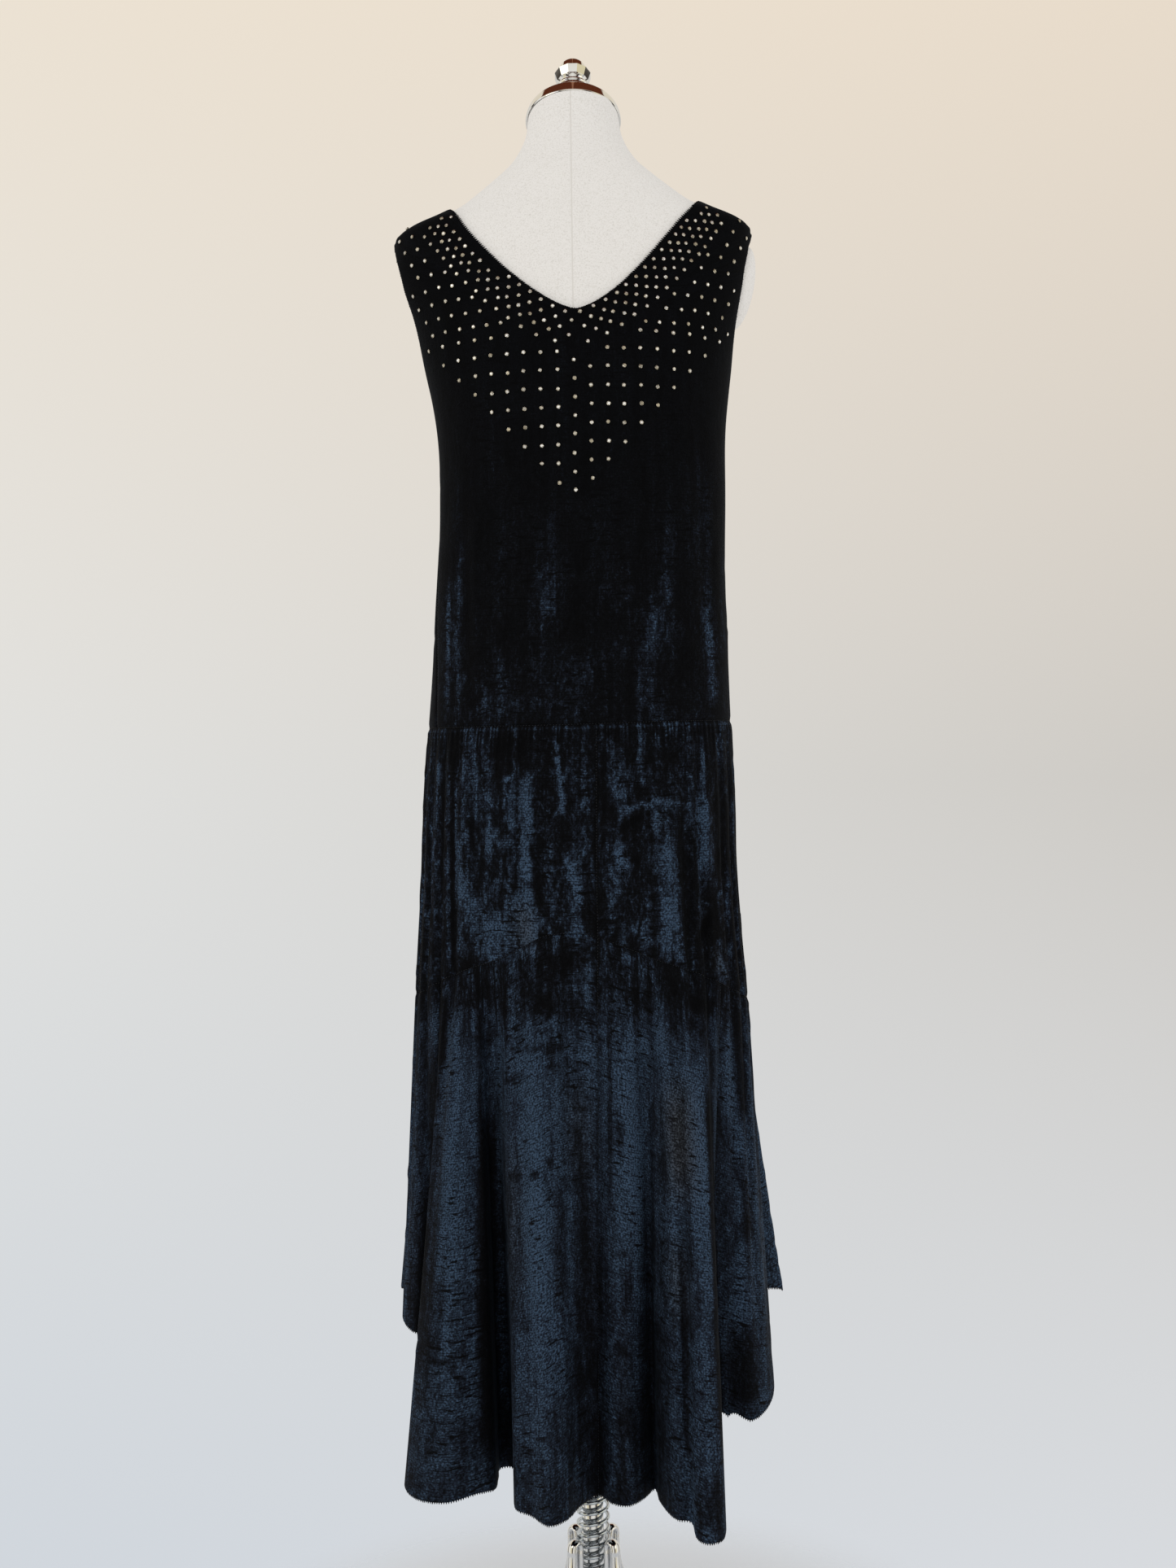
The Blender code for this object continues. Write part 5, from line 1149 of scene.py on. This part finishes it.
# Where each wanted stone lands on a bodice panel, with the cloth's outward normal; way is 1 from behind.
def onCloth(tree, wanted, way, random):
    found = []
    for x, z in wanted:
        shift = random.uniform(-stones["jitter"], stones["jitter"], 2)
        aims = [tree.ray_cast(Vector((x + shift[0] + off, -0.5 * way, z + shift[1])), Vector((0, way, 0)))
                for off in (0.0, -stones["margin"], stones["margin"])]
        if all(aim[0] is not None and aim[0].y * way < stones["nearSide"] for aim in aims):
            place, normal = aims[0][:2]
            found.append((place, normal if normal.y * way < 0 else -normal))
    return found


def stoneCup():
    points = ringPoints(stones["cupRings"], stones["sides"])
    faces = ringFaces(len(stones["cupRings"]), stones["sides"], True, False)
    for i in range(stones["prongs"]):                       # small claws bent over the stone
        a = math.pi / 4 + i * 2 * math.pi / stones["prongs"]
        out, side = np.array([math.cos(a), math.sin(a), 0]), np.array([-math.sin(a), math.cos(a), 0])
        base = len(points)
        for reach, half, height in stones["prongRows"]:
            points.extend(out * reach + side * half * way + (0, 0, height) for way in (1, -1))
        faces.extend([(base, base + 1, base + 3, base + 2), (base + 2, base + 3, base + 5, base + 4),
                      (base + 4, base + 5, base + 1, base)])
    return points, faces


random = np.random.default_rng(stones["seed"])
backWanted = stoneField()
for row, offsets in enumerate(zip(stones["leftOffsets"], stones["rightOffsets"])):
    x, z = neckBand(*offsets, dress["backNeck"])
    places = spacedAlong(x, z, dress["backNeck"], stones["bandShift"] - 0.5 * (row % 2))
    backWanted.extend(map(tuple, places))
frontWanted = []
for row, offset in enumerate(stones["frontOffsets"]):
    x, z = neckBand(offset, offset, dress["frontNeck"])
    frontWanted.extend(map(tuple, spacedAlong(x, z, dress["frontNeck"], 0.5 * (row % 2))))
backStones = onCloth(clothTree(pieces["bodice_back"]), backWanted, 1, random)
frontStones = onCloth(clothTree(pieces["bodice_front"]), frontWanted, -1, random)
glass = (ringPoints(stones["glassRings"], stones["sides"], 0.5),
         ringFaces(len(stones["glassRings"]), stones["sides"]))
stoneParts = (("stoneCups", stoneCup(), silverCup), ("stoneGlass", glass, cutGlass))
for end, found in (("Back", backStones), ("Front", frontStones)):
    places = [place + normal * stones["lift"] for place, normal in found]
    normals = [normal for place, normal in found]
    alongs = np.tile(stones["along"], (len(places), 1))
    for kind, (points, faces), finish in stoneParts:
        pieces[kind + end] = repeated(kind + end, plainMesh(kind, points, faces), places, normals, alongs,
                                      finish, **stones["setting"])
print("stones set:", len(backStones), "behind and", len(frontStones), "in front")

# Picot edge on every finished edge, and the thread of the seams.
edging = {"picotPitch": 0.0026, "picotWidth": 0.0009, "picotReach": 0.0023, "picotThick": 0.00045,
          "picotRoot": 0.0005, "picotMiddle": (0.5, 0.62, 0.8), "picotTip": (1.0, 0.16, 0.5),
          "picotSetting": {"lean": 0.12, "turn": 0.1, "smallest": 0.8, "seed": 7},
          "stitchPitch": 0.0030, "stitchHalf": 0.0009, "stitchRadius": 0.00022, "stitchRise": 0.0001,
          "stitchEnd": 0.4, "stitchMiddle": 1.2,
          "stitchSetting": {"lean": 0.05, "turn": 0.25, "smallest": 1.0, "seed": 9}}


def evenly(points, values, pitch):
    length = np.concatenate([[0.0], np.cumsum(np.linalg.norm(np.diff(points, axis=0), axis=1))])
    count = max(int(length[-1] / pitch), 1)
    at = (np.arange(count) + 0.5) * length[-1] / count
    return [np.stack([np.interp(at, length, part[:, axis]) for axis in range(3)], axis=-1)
            for part in (points, *values)]


# Places, directions and normals for one small thing at each pitch along all the lines.
def alongLines(lines, pitch):
    rows = [evenly(points, (way, normal), pitch) for points, way, normal in lines]
    return [np.concatenate(part) for part in zip(*rows)]


def picotTooth():
    size = np.array([edging["picotReach"], edging["picotWidth"], edging["picotThick"]])
    root = np.array([-edging["picotRoot"], size[1], size[2]])
    corners = ((root, 1), (root, -1), (size * edging["picotMiddle"], -1), (size * edging["picotMiddle"], 1),
               (size * edging["picotTip"], 1), (size * edging["picotTip"], -1))
    points = [corner * (1, side, way) for corner, way in corners for side in (1, -1)]
    faces = [(0, 2, 3, 1), (0, 6, 7, 1), (2, 4, 5, 3), (6, 8, 9, 7), (4, 10, 11, 5), (8, 10, 11, 9),
             (0, 2, 4, 6), (1, 3, 5, 7), (6, 4, 10, 8), (7, 5, 11, 9)]
    return plainMesh("tooth", points, faces)


def seamStitch():
    half, radius = edging["stitchHalf"], edging["stitchRadius"]
    end, middle = edging["stitchEnd"], edging["stitchMiddle"]
    points = [(x, radius * scale * y, radius * scale * z)
              for x, scale in ((-half, end), (0.0, middle), (half, end))
              for y, z in ((1, 0), (0, 1), (-1, 0), (0, -1))]
    return plainMesh("stitch", points, ringFaces(3, 4))


places, offs, normals = alongLines([(points, unit(off), normal) for points, off, normal in freeEdges],
                                   edging["picotPitch"])
pieces["picotEdge"] = repeated("picotEdge", picotTooth(), places - normals * dress["wall"] / 2, normals,
                               offs, skirtVelvet, **edging["picotSetting"])
places, ways, normals = alongLines([(points, unit(np.gradient(points, axis=0)), normal)
                                    for points, normal in seamLines], edging["stitchPitch"])
pieces["seamThread"] = repeated("seamThread", seamStitch(), places + normals * edging["stitchRise"], normals,
                                ways, silkThread, **edging["stitchSetting"])
print("edges:", len(freeEdges), "finished,", len(seamLines), "sewn")

# Dress form: the figure moved in by the cloth and a little slack, cut flat at the arms.
form = {
    "wall": 0.0015, "bottom": 0.8400, "neckBase": 1.640, "neckTop": 1.6865, "neckTilt": 20.0,
    "heights": (1.505, 1.53, 1.552, 1.566, 1.578, 1.592, 1.607, 1.622, 1.636, 1.652), "evenTop": 1.48,
    "evenRows": 15, "columns": 144, "rows": 132, "cutHeight": 1.5055, "cutLean": 0.18,
    "seats": {-1: 0.1715, 1: 0.1760}, "underArm": 1.415, "underArmLean": 4.0,
    "plateSides": 72, "domeRows": 14, "domeTurn": 1.53, "plateHalfHeight": 0.0435, "plateHalfWidth": 0.031,
    "plateMiddle": 0.006, "plateGap": 0.0003,
    "plates": (("arm_plate_left", "armPlateLeft", -1, 0.0065),
               ("arm_plate_right", "armPlateRight", 1, 0.0145)),
}
slackTable = tableCurve((  # height, from the cloth's inside to the form
    (0.84, 0.014), (0.98, 0.007), (1.08, 0.014), (1.18, 0.022), (1.26, 0.010), (1.33, 0.003),
    (1.39, 0.0030), (1.45, 0.0026), (1.50, 0.0018), (1.54, 0.0015), (1.57, 0.0021),
    (1.60, 0.0018), (1.70, 0.0015)))
formHeights = np.concatenate([np.linspace(form["bottom"], form["evenTop"], form["evenRows"]),
                              form["heights"], [form["neckTop"]]])


def solidPiece(name, points, faces, material, sharp=35.0):
    mesh = plainMesh(name, points, faces)
    mesh.shade_smooth()
    mesh.set_sharp_from_angle(angle=math.radians(sharp))
    mesh.materials.append(material)
    return newObject(name, mesh)


def makeForm(name):
    rows = np.linspace(0.0, len(formHeights) - 1, form["rows"] + 1)
    height = np.interp(rows, np.arange(len(formHeights)), formHeights)[:, None]
    angle = np.linspace(0.0, 360.0, form["columns"], endpoint=False)[None, :]
    angle, height = np.broadcast_arrays(angle, height)
    inward = form["wall"] + slackTable(height)
    points = figurePoint(angle, height) - figureNormal(angle, height) * inward[..., None]
    lean = form["cutLean"] * (points[..., 2] - form["cutHeight"])
    lean = lean + form["underArmLean"] * np.clip(form["underArm"] - height, 0.0, None)
    points[..., 0] = np.clip(points[..., 0], -form["seats"][-1] - lean, form["seats"][1] + lean)
    share = np.clip((height - form["neckBase"]) / (form["neckTop"] - form["neckBase"]), 0.0, 1.0)
    slope = math.tan(math.radians(form["neckTilt"]))
    points[..., 2] -= (points[..., 1] - figureTable(height, 4)) * slope * share
    return solidPiece(name, points.reshape(-1, 3), ringFaces(len(rows), form["columns"]), jersey, sharp=30.0)


# A low dome on the flat cut at the shoulder.
def makeArmPlate(name, side, thick):
    turn = np.linspace(0, 2 * math.pi, form["plateSides"], endpoint=False)
    points = []
    for step in np.linspace(0.0, form["domeTurn"], form["domeRows"]):
        share, standOff = math.cos(step), form["plateGap"] + thick * math.sin(step)
        rise = share * form["plateHalfHeight"] * np.sin(turn)
        x = side * (form["seats"][side] + standOff + form["cutLean"] * rise)
        y = form["plateMiddle"] + share * form["plateHalfWidth"] * np.cos(turn)
        points.append(np.stack([x, y, form["cutHeight"] + rise], axis=-1))
    faces = ringFaces(form["domeRows"], form["plateSides"])
    return solidPiece(name, np.concatenate(points), faces, jersey, sharp=40.0)


pieces["form_torso"] = makeForm("formTorso")
for node, name, side, thick in form["plates"]:
    pieces[node] = makeArmPlate(name, side, thick)
print("form made")

# Turned and bent metal, from the neck cap down to the feet.
metal = {"sides": 96, "rowSteps": 5, "edge": 0.0006}
neckMetal = {
    "cap": ((0.0508, 0.0003), (0.0512, 0.0018), (0.0508, 0.0060), (0.0485, 0.0125), (0.0425, 0.0183),
            (0.0300, 0.0240), (0.0220, 0.0262)),
    "reels": ((0.0200, 0.0003), (0.0206, 0.0028), (0.0188, 0.0068), (0.0176, 0.0088), (0.0206, 0.0120),
              (0.0208, 0.0146), (0.0186, 0.0168), (0.0164, 0.0182), (0.0182, 0.0202), (0.0182, 0.0218),
              (0.0150, 0.0240), (0.0136, 0.0260), (0.0150, 0.0282)),
    "knob": ((0.0172, 0.0294), (0.0201, 0.0384), (0.0190, 0.0398)), "knobSides": 12, "knobTurn": 15.0,
    "knobEdge": 0.0005, "knobLip": 0.0006, "knobShare": 0.05,
    "dome": ((0.0155, 0.0418), (0.0150, 0.0464), (0.0125, 0.0512), (0.0080, 0.0550), (0.0030, 0.0570)),
}
stand = {
    "postRadius": 0.0110, "postBottom": 0.0950, "postTop": 0.8397, "plateRadius": 0.045, "plateThick": 0.006,
    "hub": (0.0186, 0.0140, 0.1350), "collar": (0.0210, 0.3600, 0.3760), "bore": 0.01108,
    "springRadius": 0.0160, "springWire": 0.0020, "springTurns": 19, "springSteps": 32, "springSides": 10,
    "springGap": 0.0004, "legs": 4, "legTurn": 45.0, "legHalfWidth": 0.0060, "legHalfHeight": 0.0035,
    "legSides": 20, "legSteps": 8,
    "legPath": ((0.0222, 0.0600), (0.0222, 0.1100), (0.0222, 0.1625), (0.0222, 0.1697), (0.0237, 0.1734),
                (0.0274, 0.1749), (0.0311, 0.1734), (0.0326, 0.1697), (0.0326, 0.1625), (0.0332, 0.1500),
                (0.0352, 0.1370), (0.0430, 0.1200), (0.0620, 0.1010), (0.1000, 0.0780), (0.1550, 0.0560),
                (0.2150, 0.0395), (0.2560, 0.0310), (0.2680, 0.0125)),
    "footRadius": 0.0150, "footTop": 0.0122, "footEdge": 0.003, "footSteps": 6, "footSides": 48,
}


# A smooth line through a few rows, with the same number of steps between each two.
def smoothLine(rows, steps):
    rows = np.array(rows, float)
    knots = np.concatenate([[0.0], np.cumsum(np.linalg.norm(np.diff(rows, axis=0), axis=1))])
    count = steps * (len(rows) - 1) + 1
    at = np.interp(np.linspace(0, len(rows) - 1, count), np.arange(len(rows)), knots)
    slopes = [curveSlopes(knots, rows[:, axis], False) for axis in (0, 1)]
    return at, [curveAt(knots, rows[:, axis], slopes[axis], at) for axis in (0, 1)]


def roundRows(rows):
    return list(zip(*smoothLine(rows, metal["rowSteps"])[1]))


def chamfered(radius, low, high, edge):
    bevel = ((edge, 0.0), (edge * 0.3, edge * 0.3), (0.0, edge))
    return ([(radius - inward, low + rise) for inward, rise in bevel]
            + [(radius - inward, high - rise) for inward, rise in reversed(bevel)])


# A round piece from rows of radius and height, bored through or filled; facets is each row's share
# of the knob's flat sides.
def turnedPiece(name, rows, material, bore=None, place=None, facets=None, sides=None, sharp=28.0):
    sides = sides or metal["sides"]
    turn = np.arange(sides) * 2 * math.pi / sides
    facets = facets or [0.0] * len(rows)
    part = 2 * math.pi / neckMetal["knobSides"]
    flat = math.cos(part / 2) / np.cos((turn + math.radians(neckMetal["knobTurn"])) % part - part / 2)
    rings = [(radius * (1 + (flat - 1) * share), height) for (radius, height), share in zip(rows, facets)]
    if bore is not None:
        rings += [(np.full(sides, bore), rows[-1][1]), (np.full(sides, bore), rows[0][1])]
    points = np.concatenate([
        np.stack([reach * np.cos(turn), reach * np.sin(turn), np.full(sides, height)], axis=-1)
        for reach, height in rings])
    faces = ringFaces(len(rings), sides, bore is None, bore is None)
    if bore is not None:
        last = (len(rings) - 1) * sides
        faces += [(last + i, last + (i + 1) % sides, (i + 1) % sides, i) for i in range(sides)]
    if place is not None:
        points = place(points)
    return solidPiece(name, points, faces, material, sharp)


def onNeck(points):
    tilt = math.radians(form["neckTilt"])
    turn = np.array([[1, 0, 0], [0, math.cos(tilt), math.sin(tilt)], [0, -math.sin(tilt), math.cos(tilt)]])
    return points @ turn.T + np.array([0.0, float(figureTable(form["neckTop"], 4)), form["neckTop"]])


def barPiece(name, path, across, up, halfWidth, halfHeight, sides, material):
    turn = np.arange(sides) * 2 * math.pi / sides
    rings = (path[:, None] + across[:, None] * (halfWidth * np.cos(turn))[None, :, None]
             + up[:, None] * (halfHeight * np.sin(turn))[None, :, None])
    return solidPiece(name, rings.reshape(-1, 3), ringFaces(len(path), sides), material, sharp=50.0)


def makeFinial(name):
    reels, dome = roundRows(neckMetal["reels"]), roundRows(neckMetal["dome"])
    (lowRadius, low), (radius, high), (lipRadius, lip) = neckMetal["knob"]
    edge = neckMetal["knobEdge"]
    knob = [(lowRadius, low), (radius + (lowRadius - radius) * neckMetal["knobShare"], high - edge),
            (radius, high), (radius - edge, high + neckMetal["knobLip"]), (lipRadius, lip)]
    base = neckMetal["cap"][-1][1]
    rows = [(radius, base + height) for radius, height in reels + knob + dome]
    facets = [0.0] * len(reels) + [1.0] * len(knob) + [0.0] * len(dome)
    return turnedPiece(name, rows, chrome, place=onNeck, facets=facets, sharp=20.0)


# A leg from the sleeve over its hook and down to the floor, and the place of its foot.
def makeLeg(name, turn):
    at, (reach, rise) = smoothLine(stand["legPath"], stand["legSteps"])
    out = np.array([math.sin(turn), -math.cos(turn), 0.0])
    across = np.array([math.cos(turn), math.sin(turn), 0.0])
    upright = np.array([0.0, 0.0, 1.0])
    slope = unit(np.stack([np.gradient(reach, at), np.gradient(rise, at)], axis=-1))
    slope[0], slope[-1] = (0.0, 1.0), (0.0, -1.0)
    path = reach[:, None] * out + rise[:, None] * upright
    up = -slope[:, 1:] * out + slope[:, :1] * upright
    leg = barPiece(name, path, np.repeat(across[None], len(at), axis=0), up, stand["legHalfWidth"],
                   stand["legHalfHeight"], stand["legSides"], chrome)
    return leg, path[-1] * np.array([1.0, 1.0, 0.0])


def makeSpring(name):
    wire = stand["springWire"]
    low = stand["hub"][2] + wire + stand["springGap"]
    high = stand["collar"][1] - wire - stand["springGap"]
    count = stand["springTurns"] * stand["springSteps"]
    turn = np.arange(count + 1) * 2 * math.pi / stand["springSteps"]
    out = np.stack([np.cos(turn), np.sin(turn), 0 * turn], axis=-1)
    path = out * stand["springRadius"]
    path[:, 2] = np.linspace(low, high, count + 1)
    up = np.repeat(np.array([[0.0, 0.0, 1.0]]), count + 1, axis=0)
    return barPiece(name, path, out, up, wire, wire, stand["springSides"], springSteel)


pieces["neck_cap"] = turnedPiece("neckCap", roundRows(neckMetal["cap"]), chrome, place=onNeck)
pieces["finial"] = makeFinial("finialKnob")
plateLow = stand["postTop"] - stand["plateThick"]
postRows = [(stand["postRadius"] - metal["edge"], stand["postBottom"]),
            (stand["postRadius"], stand["postBottom"] + metal["edge"]), (stand["postRadius"], plateLow)]
postRows += chamfered(stand["plateRadius"], plateLow, stand["postTop"], metal["edge"])
pieces["post"] = turnedPiece("postTube", postRows, chrome)
for node, name, size in (("hub", "hubSleeve", "hub"), ("spring_collar", "springCollar", "collar")):
    pieces[node] = turnedPiece(name, chamfered(*stand[size], metal["edge"]), chrome, stand["bore"])
pieces["spring"] = makeSpring("springCoil")
footRows = [(stand["footRadius"], 0.0)]
for a in np.linspace(0.0, math.pi / 2, stand["footSteps"]):
    footRows.append((stand["footRadius"] - stand["footEdge"] * (1 - math.cos(a)),
                     stand["footTop"] - stand["footEdge"] * (1 - math.sin(a))))
for number in range(1, stand["legs"] + 1):
    turn = math.radians(stand["legTurn"] + 360.0 / stand["legs"] * (number - 1))
    pieces["leg_" + str(number)], end = makeLeg("leg" + str(number), turn)
    pieces["foot_" + str(number)] = turnedPiece("foot" + str(number), footRows, chrome,
                                                sides=stand["footSides"], place=lambda points: points + end)
print("metal made")

# Which body each piece moves with and what it stands for.
bodyOf = {"form": ("bodice", "hip", "flounce", "form", "arm", "neck", "finial", "stone", "picot", "seam"),
          "post": ("post", "spring_collar"), "stand": ("spring", "hub", "leg", "foot")}


# The group whose listed start fits the most of a node's name.
def longestMatch(node, groups):
    fits = [(len(start), key) for key, starts in groups.items() for start in starts if node.startswith(start)]
    return max(fits)[1]


for node, piece in pieces.items():
    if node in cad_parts:
        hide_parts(node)
    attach(piece, longestMatch(node, bodyOf))
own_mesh(pieces["spring"])

# What each panel was cut to, flat: width and length in metres, and its area.
sheetCuts = {
    "bodice_back": (0.46, 0.675, 0.211, "form_torso"), "bodice_front": (0.505, 0.68, 0.221, "form_torso"),
    "hip_back_right": (0.25, 0.30, 0.058, "bodice_back"), "hip_front": (0.555, 0.30, 0.144, "bodice_front"),
    "hip_back_left": (0.25, 0.28, 0.054, "bodice_back"),
    "flounce_back_right": (0.355, 0.58, 0.125, "hip_back_right"),
    "flounce_side_right": (0.19, 0.455, 0.062, "hip_back_right"),
    "flounce_front": (0.84, 0.41, 0.221, "hip_front"),
    "flounce_side_left": (0.136, 0.375, 0.036, "hip_back_left"),
    "flounce_back_left": (0.53, 0.585, 0.179, "hip_back_left"),
}
for node, (width, length, area, restsOn) in sheetCuts.items():
    mesh = pieces[node].data
    print("cloth", node, round(sum(face.area for face in mesh.polygons), 4), "of", area)

# Floor, light and camera.
studio = {
    "floorColour": "#e3e5e8", "floorClear": 0.30, "floorFade": 0.22, "floorRadius": 0.8, "floorDrop": 0.0006,
    "left": ((0.0, "#d0d6dd"), (0.5, "#e0e0de"), (1.0, "#ece2d3")),
    "right": ((0.0, "#d8dbdf"), (0.5, "#cecbc6"), (1.0, "#e9dccb")),
    "rise": 0.415, "spread": 0.32, "soft": "#f6f5f3", "softStrength": 0.88,
    "around": ((0.0, "#fbf8ef"), (0.05, "#f2eee4"), (0.12, "#e3ddd2"), (0.17, "#4a423b"), (0.23, "#3b332d"),
               (0.27, "#cfc6b4"), (0.33, "#f0e3b8"), (0.45, "#fdfaf3"), (0.55, "#f3ede2"),
               (0.575, "#3d3630"), (0.61, "#463f38"), (0.64, "#f6f1e4"), (0.80, "#e2ded6"),
               (1.0, "#d6d2cb")),
    "ceiling": "#efe4cf", "ceilingRise": (0.45, 0.58), "brown": "#5e2f1c", "brownReach": (0.85, 0.81),
    "brownDepth": 0.8, "brownRise": (0.56, 0.60), "beam": "#9a6a50", "beamHalf": (0.012, 0.028),
}


def makeFloor():
    mesh = bpy.data.meshes.new("floor")
    work = bmesh.new()
    bmesh.ops.create_circle(work, cap_ends=True, segments=96, radius=studio["floorRadius"])
    for vertex in work.verts:
        vertex.co.z = -studio["floorDrop"]
    work.to_mesh(mesh)
    work.free()
    material, tree, shader = newMaterial("palePaintedFloor")      # matt, and clear towards its rim
    place = addNode(tree, "ShaderNodeTexCoord", out="Object")
    length = addNode(tree, "ShaderNodeVectorMath", {0: place}, out="Value", operation="LENGTH")
    clear = addNode(tree, "ShaderNodeMapRange",
                    {"Value": length, "From Min": studio["floorClear"], "To Min": 1.0, "To Max": 0.0,
                     "From Max": studio["floorClear"] + studio["floorFade"]},
                    interpolation_type="SMOOTHSTEP")
    tree.links.new(clear, shader.inputs["Alpha"])
    shader.inputs["Base Color"].default_value = (*linear(studio["floorColour"]), 1.0)
    shader.inputs["Roughness"].default_value = 0.9
    mesh.materials.append(material)
    return newObject("floor", mesh)


# The camera sees a wall with the fall of light and shade painted on it as a grade, mirrors see a room around
# it, and all else gets an even soft light.
def makeWorld():
    world = bpy.data.worlds.new("studio")
    world.use_nodes = True
    tree = world.node_tree
    soft, ceiling, brown, beam = ((*linear(studio[key]), 1.0) for key in ("soft", "ceiling", "brown", "beam"))
    way = addNode(tree, "ShaderNodeTexCoord", out="Generated")
    x, y, z = addNode(tree, "ShaderNodeSeparateXYZ", {0: way}, out=None).outputs
    rise = addNode(tree, "ShaderNodeMapRange",
                   {"Value": z, "From Min": -studio["rise"], "From Max": studio["rise"]})
    across = addNode(tree, "ShaderNodeMapRange",
                     {"Value": x, "From Min": -studio["spread"], "From Max": studio["spread"]})
    left = addNode(tree, "ShaderNodeValToRGB", {"Fac": rise}, stops=studio["left"])
    right = addNode(tree, "ShaderNodeValToRGB", {"Fac": rise}, stops=studio["right"])
    wall = addNode(tree, "ShaderNodeMix", {"Factor": across, "A": left, "B": right}, out=2, data_type="RGBA")
    seen = addNode(tree, "ShaderNodeBackground", {"Color": wall, "Strength": 1.0})

    towards = addNode(tree, "ShaderNodeMath", {0: y, 1: -1.0}, operation="MULTIPLY")
    turn = addNode(tree, "ShaderNodeMath", {0: x, 1: towards}, operation="ARCTAN2")   # 0 behind the camera
    turn = addNode(tree, "ShaderNodeMath", {0: turn}, operation="ABSOLUTE")
    turn = addNode(tree, "ShaderNodeMath", {0: turn, 1: math.pi}, operation="DIVIDE")
    room = addNode(tree, "ShaderNodeValToRGB", {"Fac": turn}, stops=studio["around"])
    up = addNode(tree, "ShaderNodeMapRange", {"Value": z, "From Min": studio["ceilingRise"][0],
                                              "From Max": studio["ceilingRise"][1]},
                 interpolation_type="SMOOTHSTEP")
    room = addNode(tree, "ShaderNodeMix", {"Factor": up, "A": room, "B": ceiling}, out=2, data_type="RGBA")

    # brown boards overhead, with a paler beam along their middle
    aside = addNode(tree, "ShaderNodeMath", {0: x}, operation="ABSOLUTE")
    edge = addNode(tree, "ShaderNodeMapRange", {"Value": aside, "From Min": studio["beamHalf"][0],
                                                "From Max": studio["beamHalf"][1]})
    boards = addNode(tree, "ShaderNodeMix", {"Factor": edge, "A": beam, "B": brown}, out=2, data_type="RGBA")
    over = addNode(tree, "ShaderNodeMath", {0: y, 1: studio["brownDepth"], 2: aside},
                   operation="MULTIPLY_ADD")
    over = addNode(tree, "ShaderNodeMapRange", {"Value": over, "From Min": studio["brownReach"][0],
                                                "From Max": studio["brownReach"][1]})
    high = addNode(tree, "ShaderNodeMapRange", {"Value": z, "From Min": studio["brownRise"][0],
                                                "From Max": studio["brownRise"][1]})
    over = addNode(tree, "ShaderNodeMath", {0: over, 1: high}, operation="MULTIPLY")
    room = addNode(tree, "ShaderNodeMix", {"Factor": over, "A": room, "B": boards}, out=2, data_type="RGBA")
    mirrored = addNode(tree, "ShaderNodeBackground", {"Color": room, "Strength": 1.0})

    even = addNode(tree, "ShaderNodeBackground", {"Color": soft, "Strength": studio["softStrength"]})
    path = addNode(tree, "ShaderNodeLightPath", out=None).outputs
    unseen = addNode(tree, "ShaderNodeMixShader", {0: path["Is Glossy Ray"], 1: even, 2: mirrored})
    both = addNode(tree, "ShaderNodeMixShader", {0: path["Is Camera Ray"], 1: unseen, 2: seen})
    tree.links.new(both, tree.nodes["World Output"].inputs["Surface"])
    return world


makeFloor()
bpy.context.scene.world = makeWorld()

lamps = (  # name, place, size, watts, colour
    ("windowLight", (-2.6, -2.2, 2.2), (1.8, 2.4), 14.0, "#fffcf8"),
    ("fillLight", (2.8, -2.0, 1.4), (1.6, 2.2), 7.0, "#f6f8ff"),
)
lampAim = Vector((0, 0, 0.95))
for name, where, size, power, colour in lamps:
    lamp = bpy.data.lights.new(name, "AREA")
    lamp.shape, lamp.size, lamp.size_y = "RECTANGLE", size[0], size[1]
    lamp.energy, lamp.color = power, linear(colour)
    light = newObject(name, lamp)
    light.location = where
    light.rotation_euler = (lampAim - Vector(where)).to_track_quat("-Z", "Y").to_euler()

view = {"focalLength": 2105, "frameHeight": 1927, "sensor": 36.0,       # focal length in pixels of the frame
        "place": (0.00565, -1.83, 0.977), "pitch": 90, "roll": 0.823}
scene = bpy.context.scene
scene.view_settings.view_transform = "Standard"
lens = bpy.data.cameras.new("camera")
lens.sensor_fit, lens.sensor_width, lens.sensor_height = "AUTO", view["sensor"], view["sensor"]
lens.lens = view["focalLength"] / view["frameHeight"] * view["sensor"]
camera = newObject("camera", lens)
camera.location = view["place"]
camera.rotation_euler = (math.radians(view["pitch"]), math.radians(view["roll"]), 0.0)
scene.camera = camera
print("stage ready")
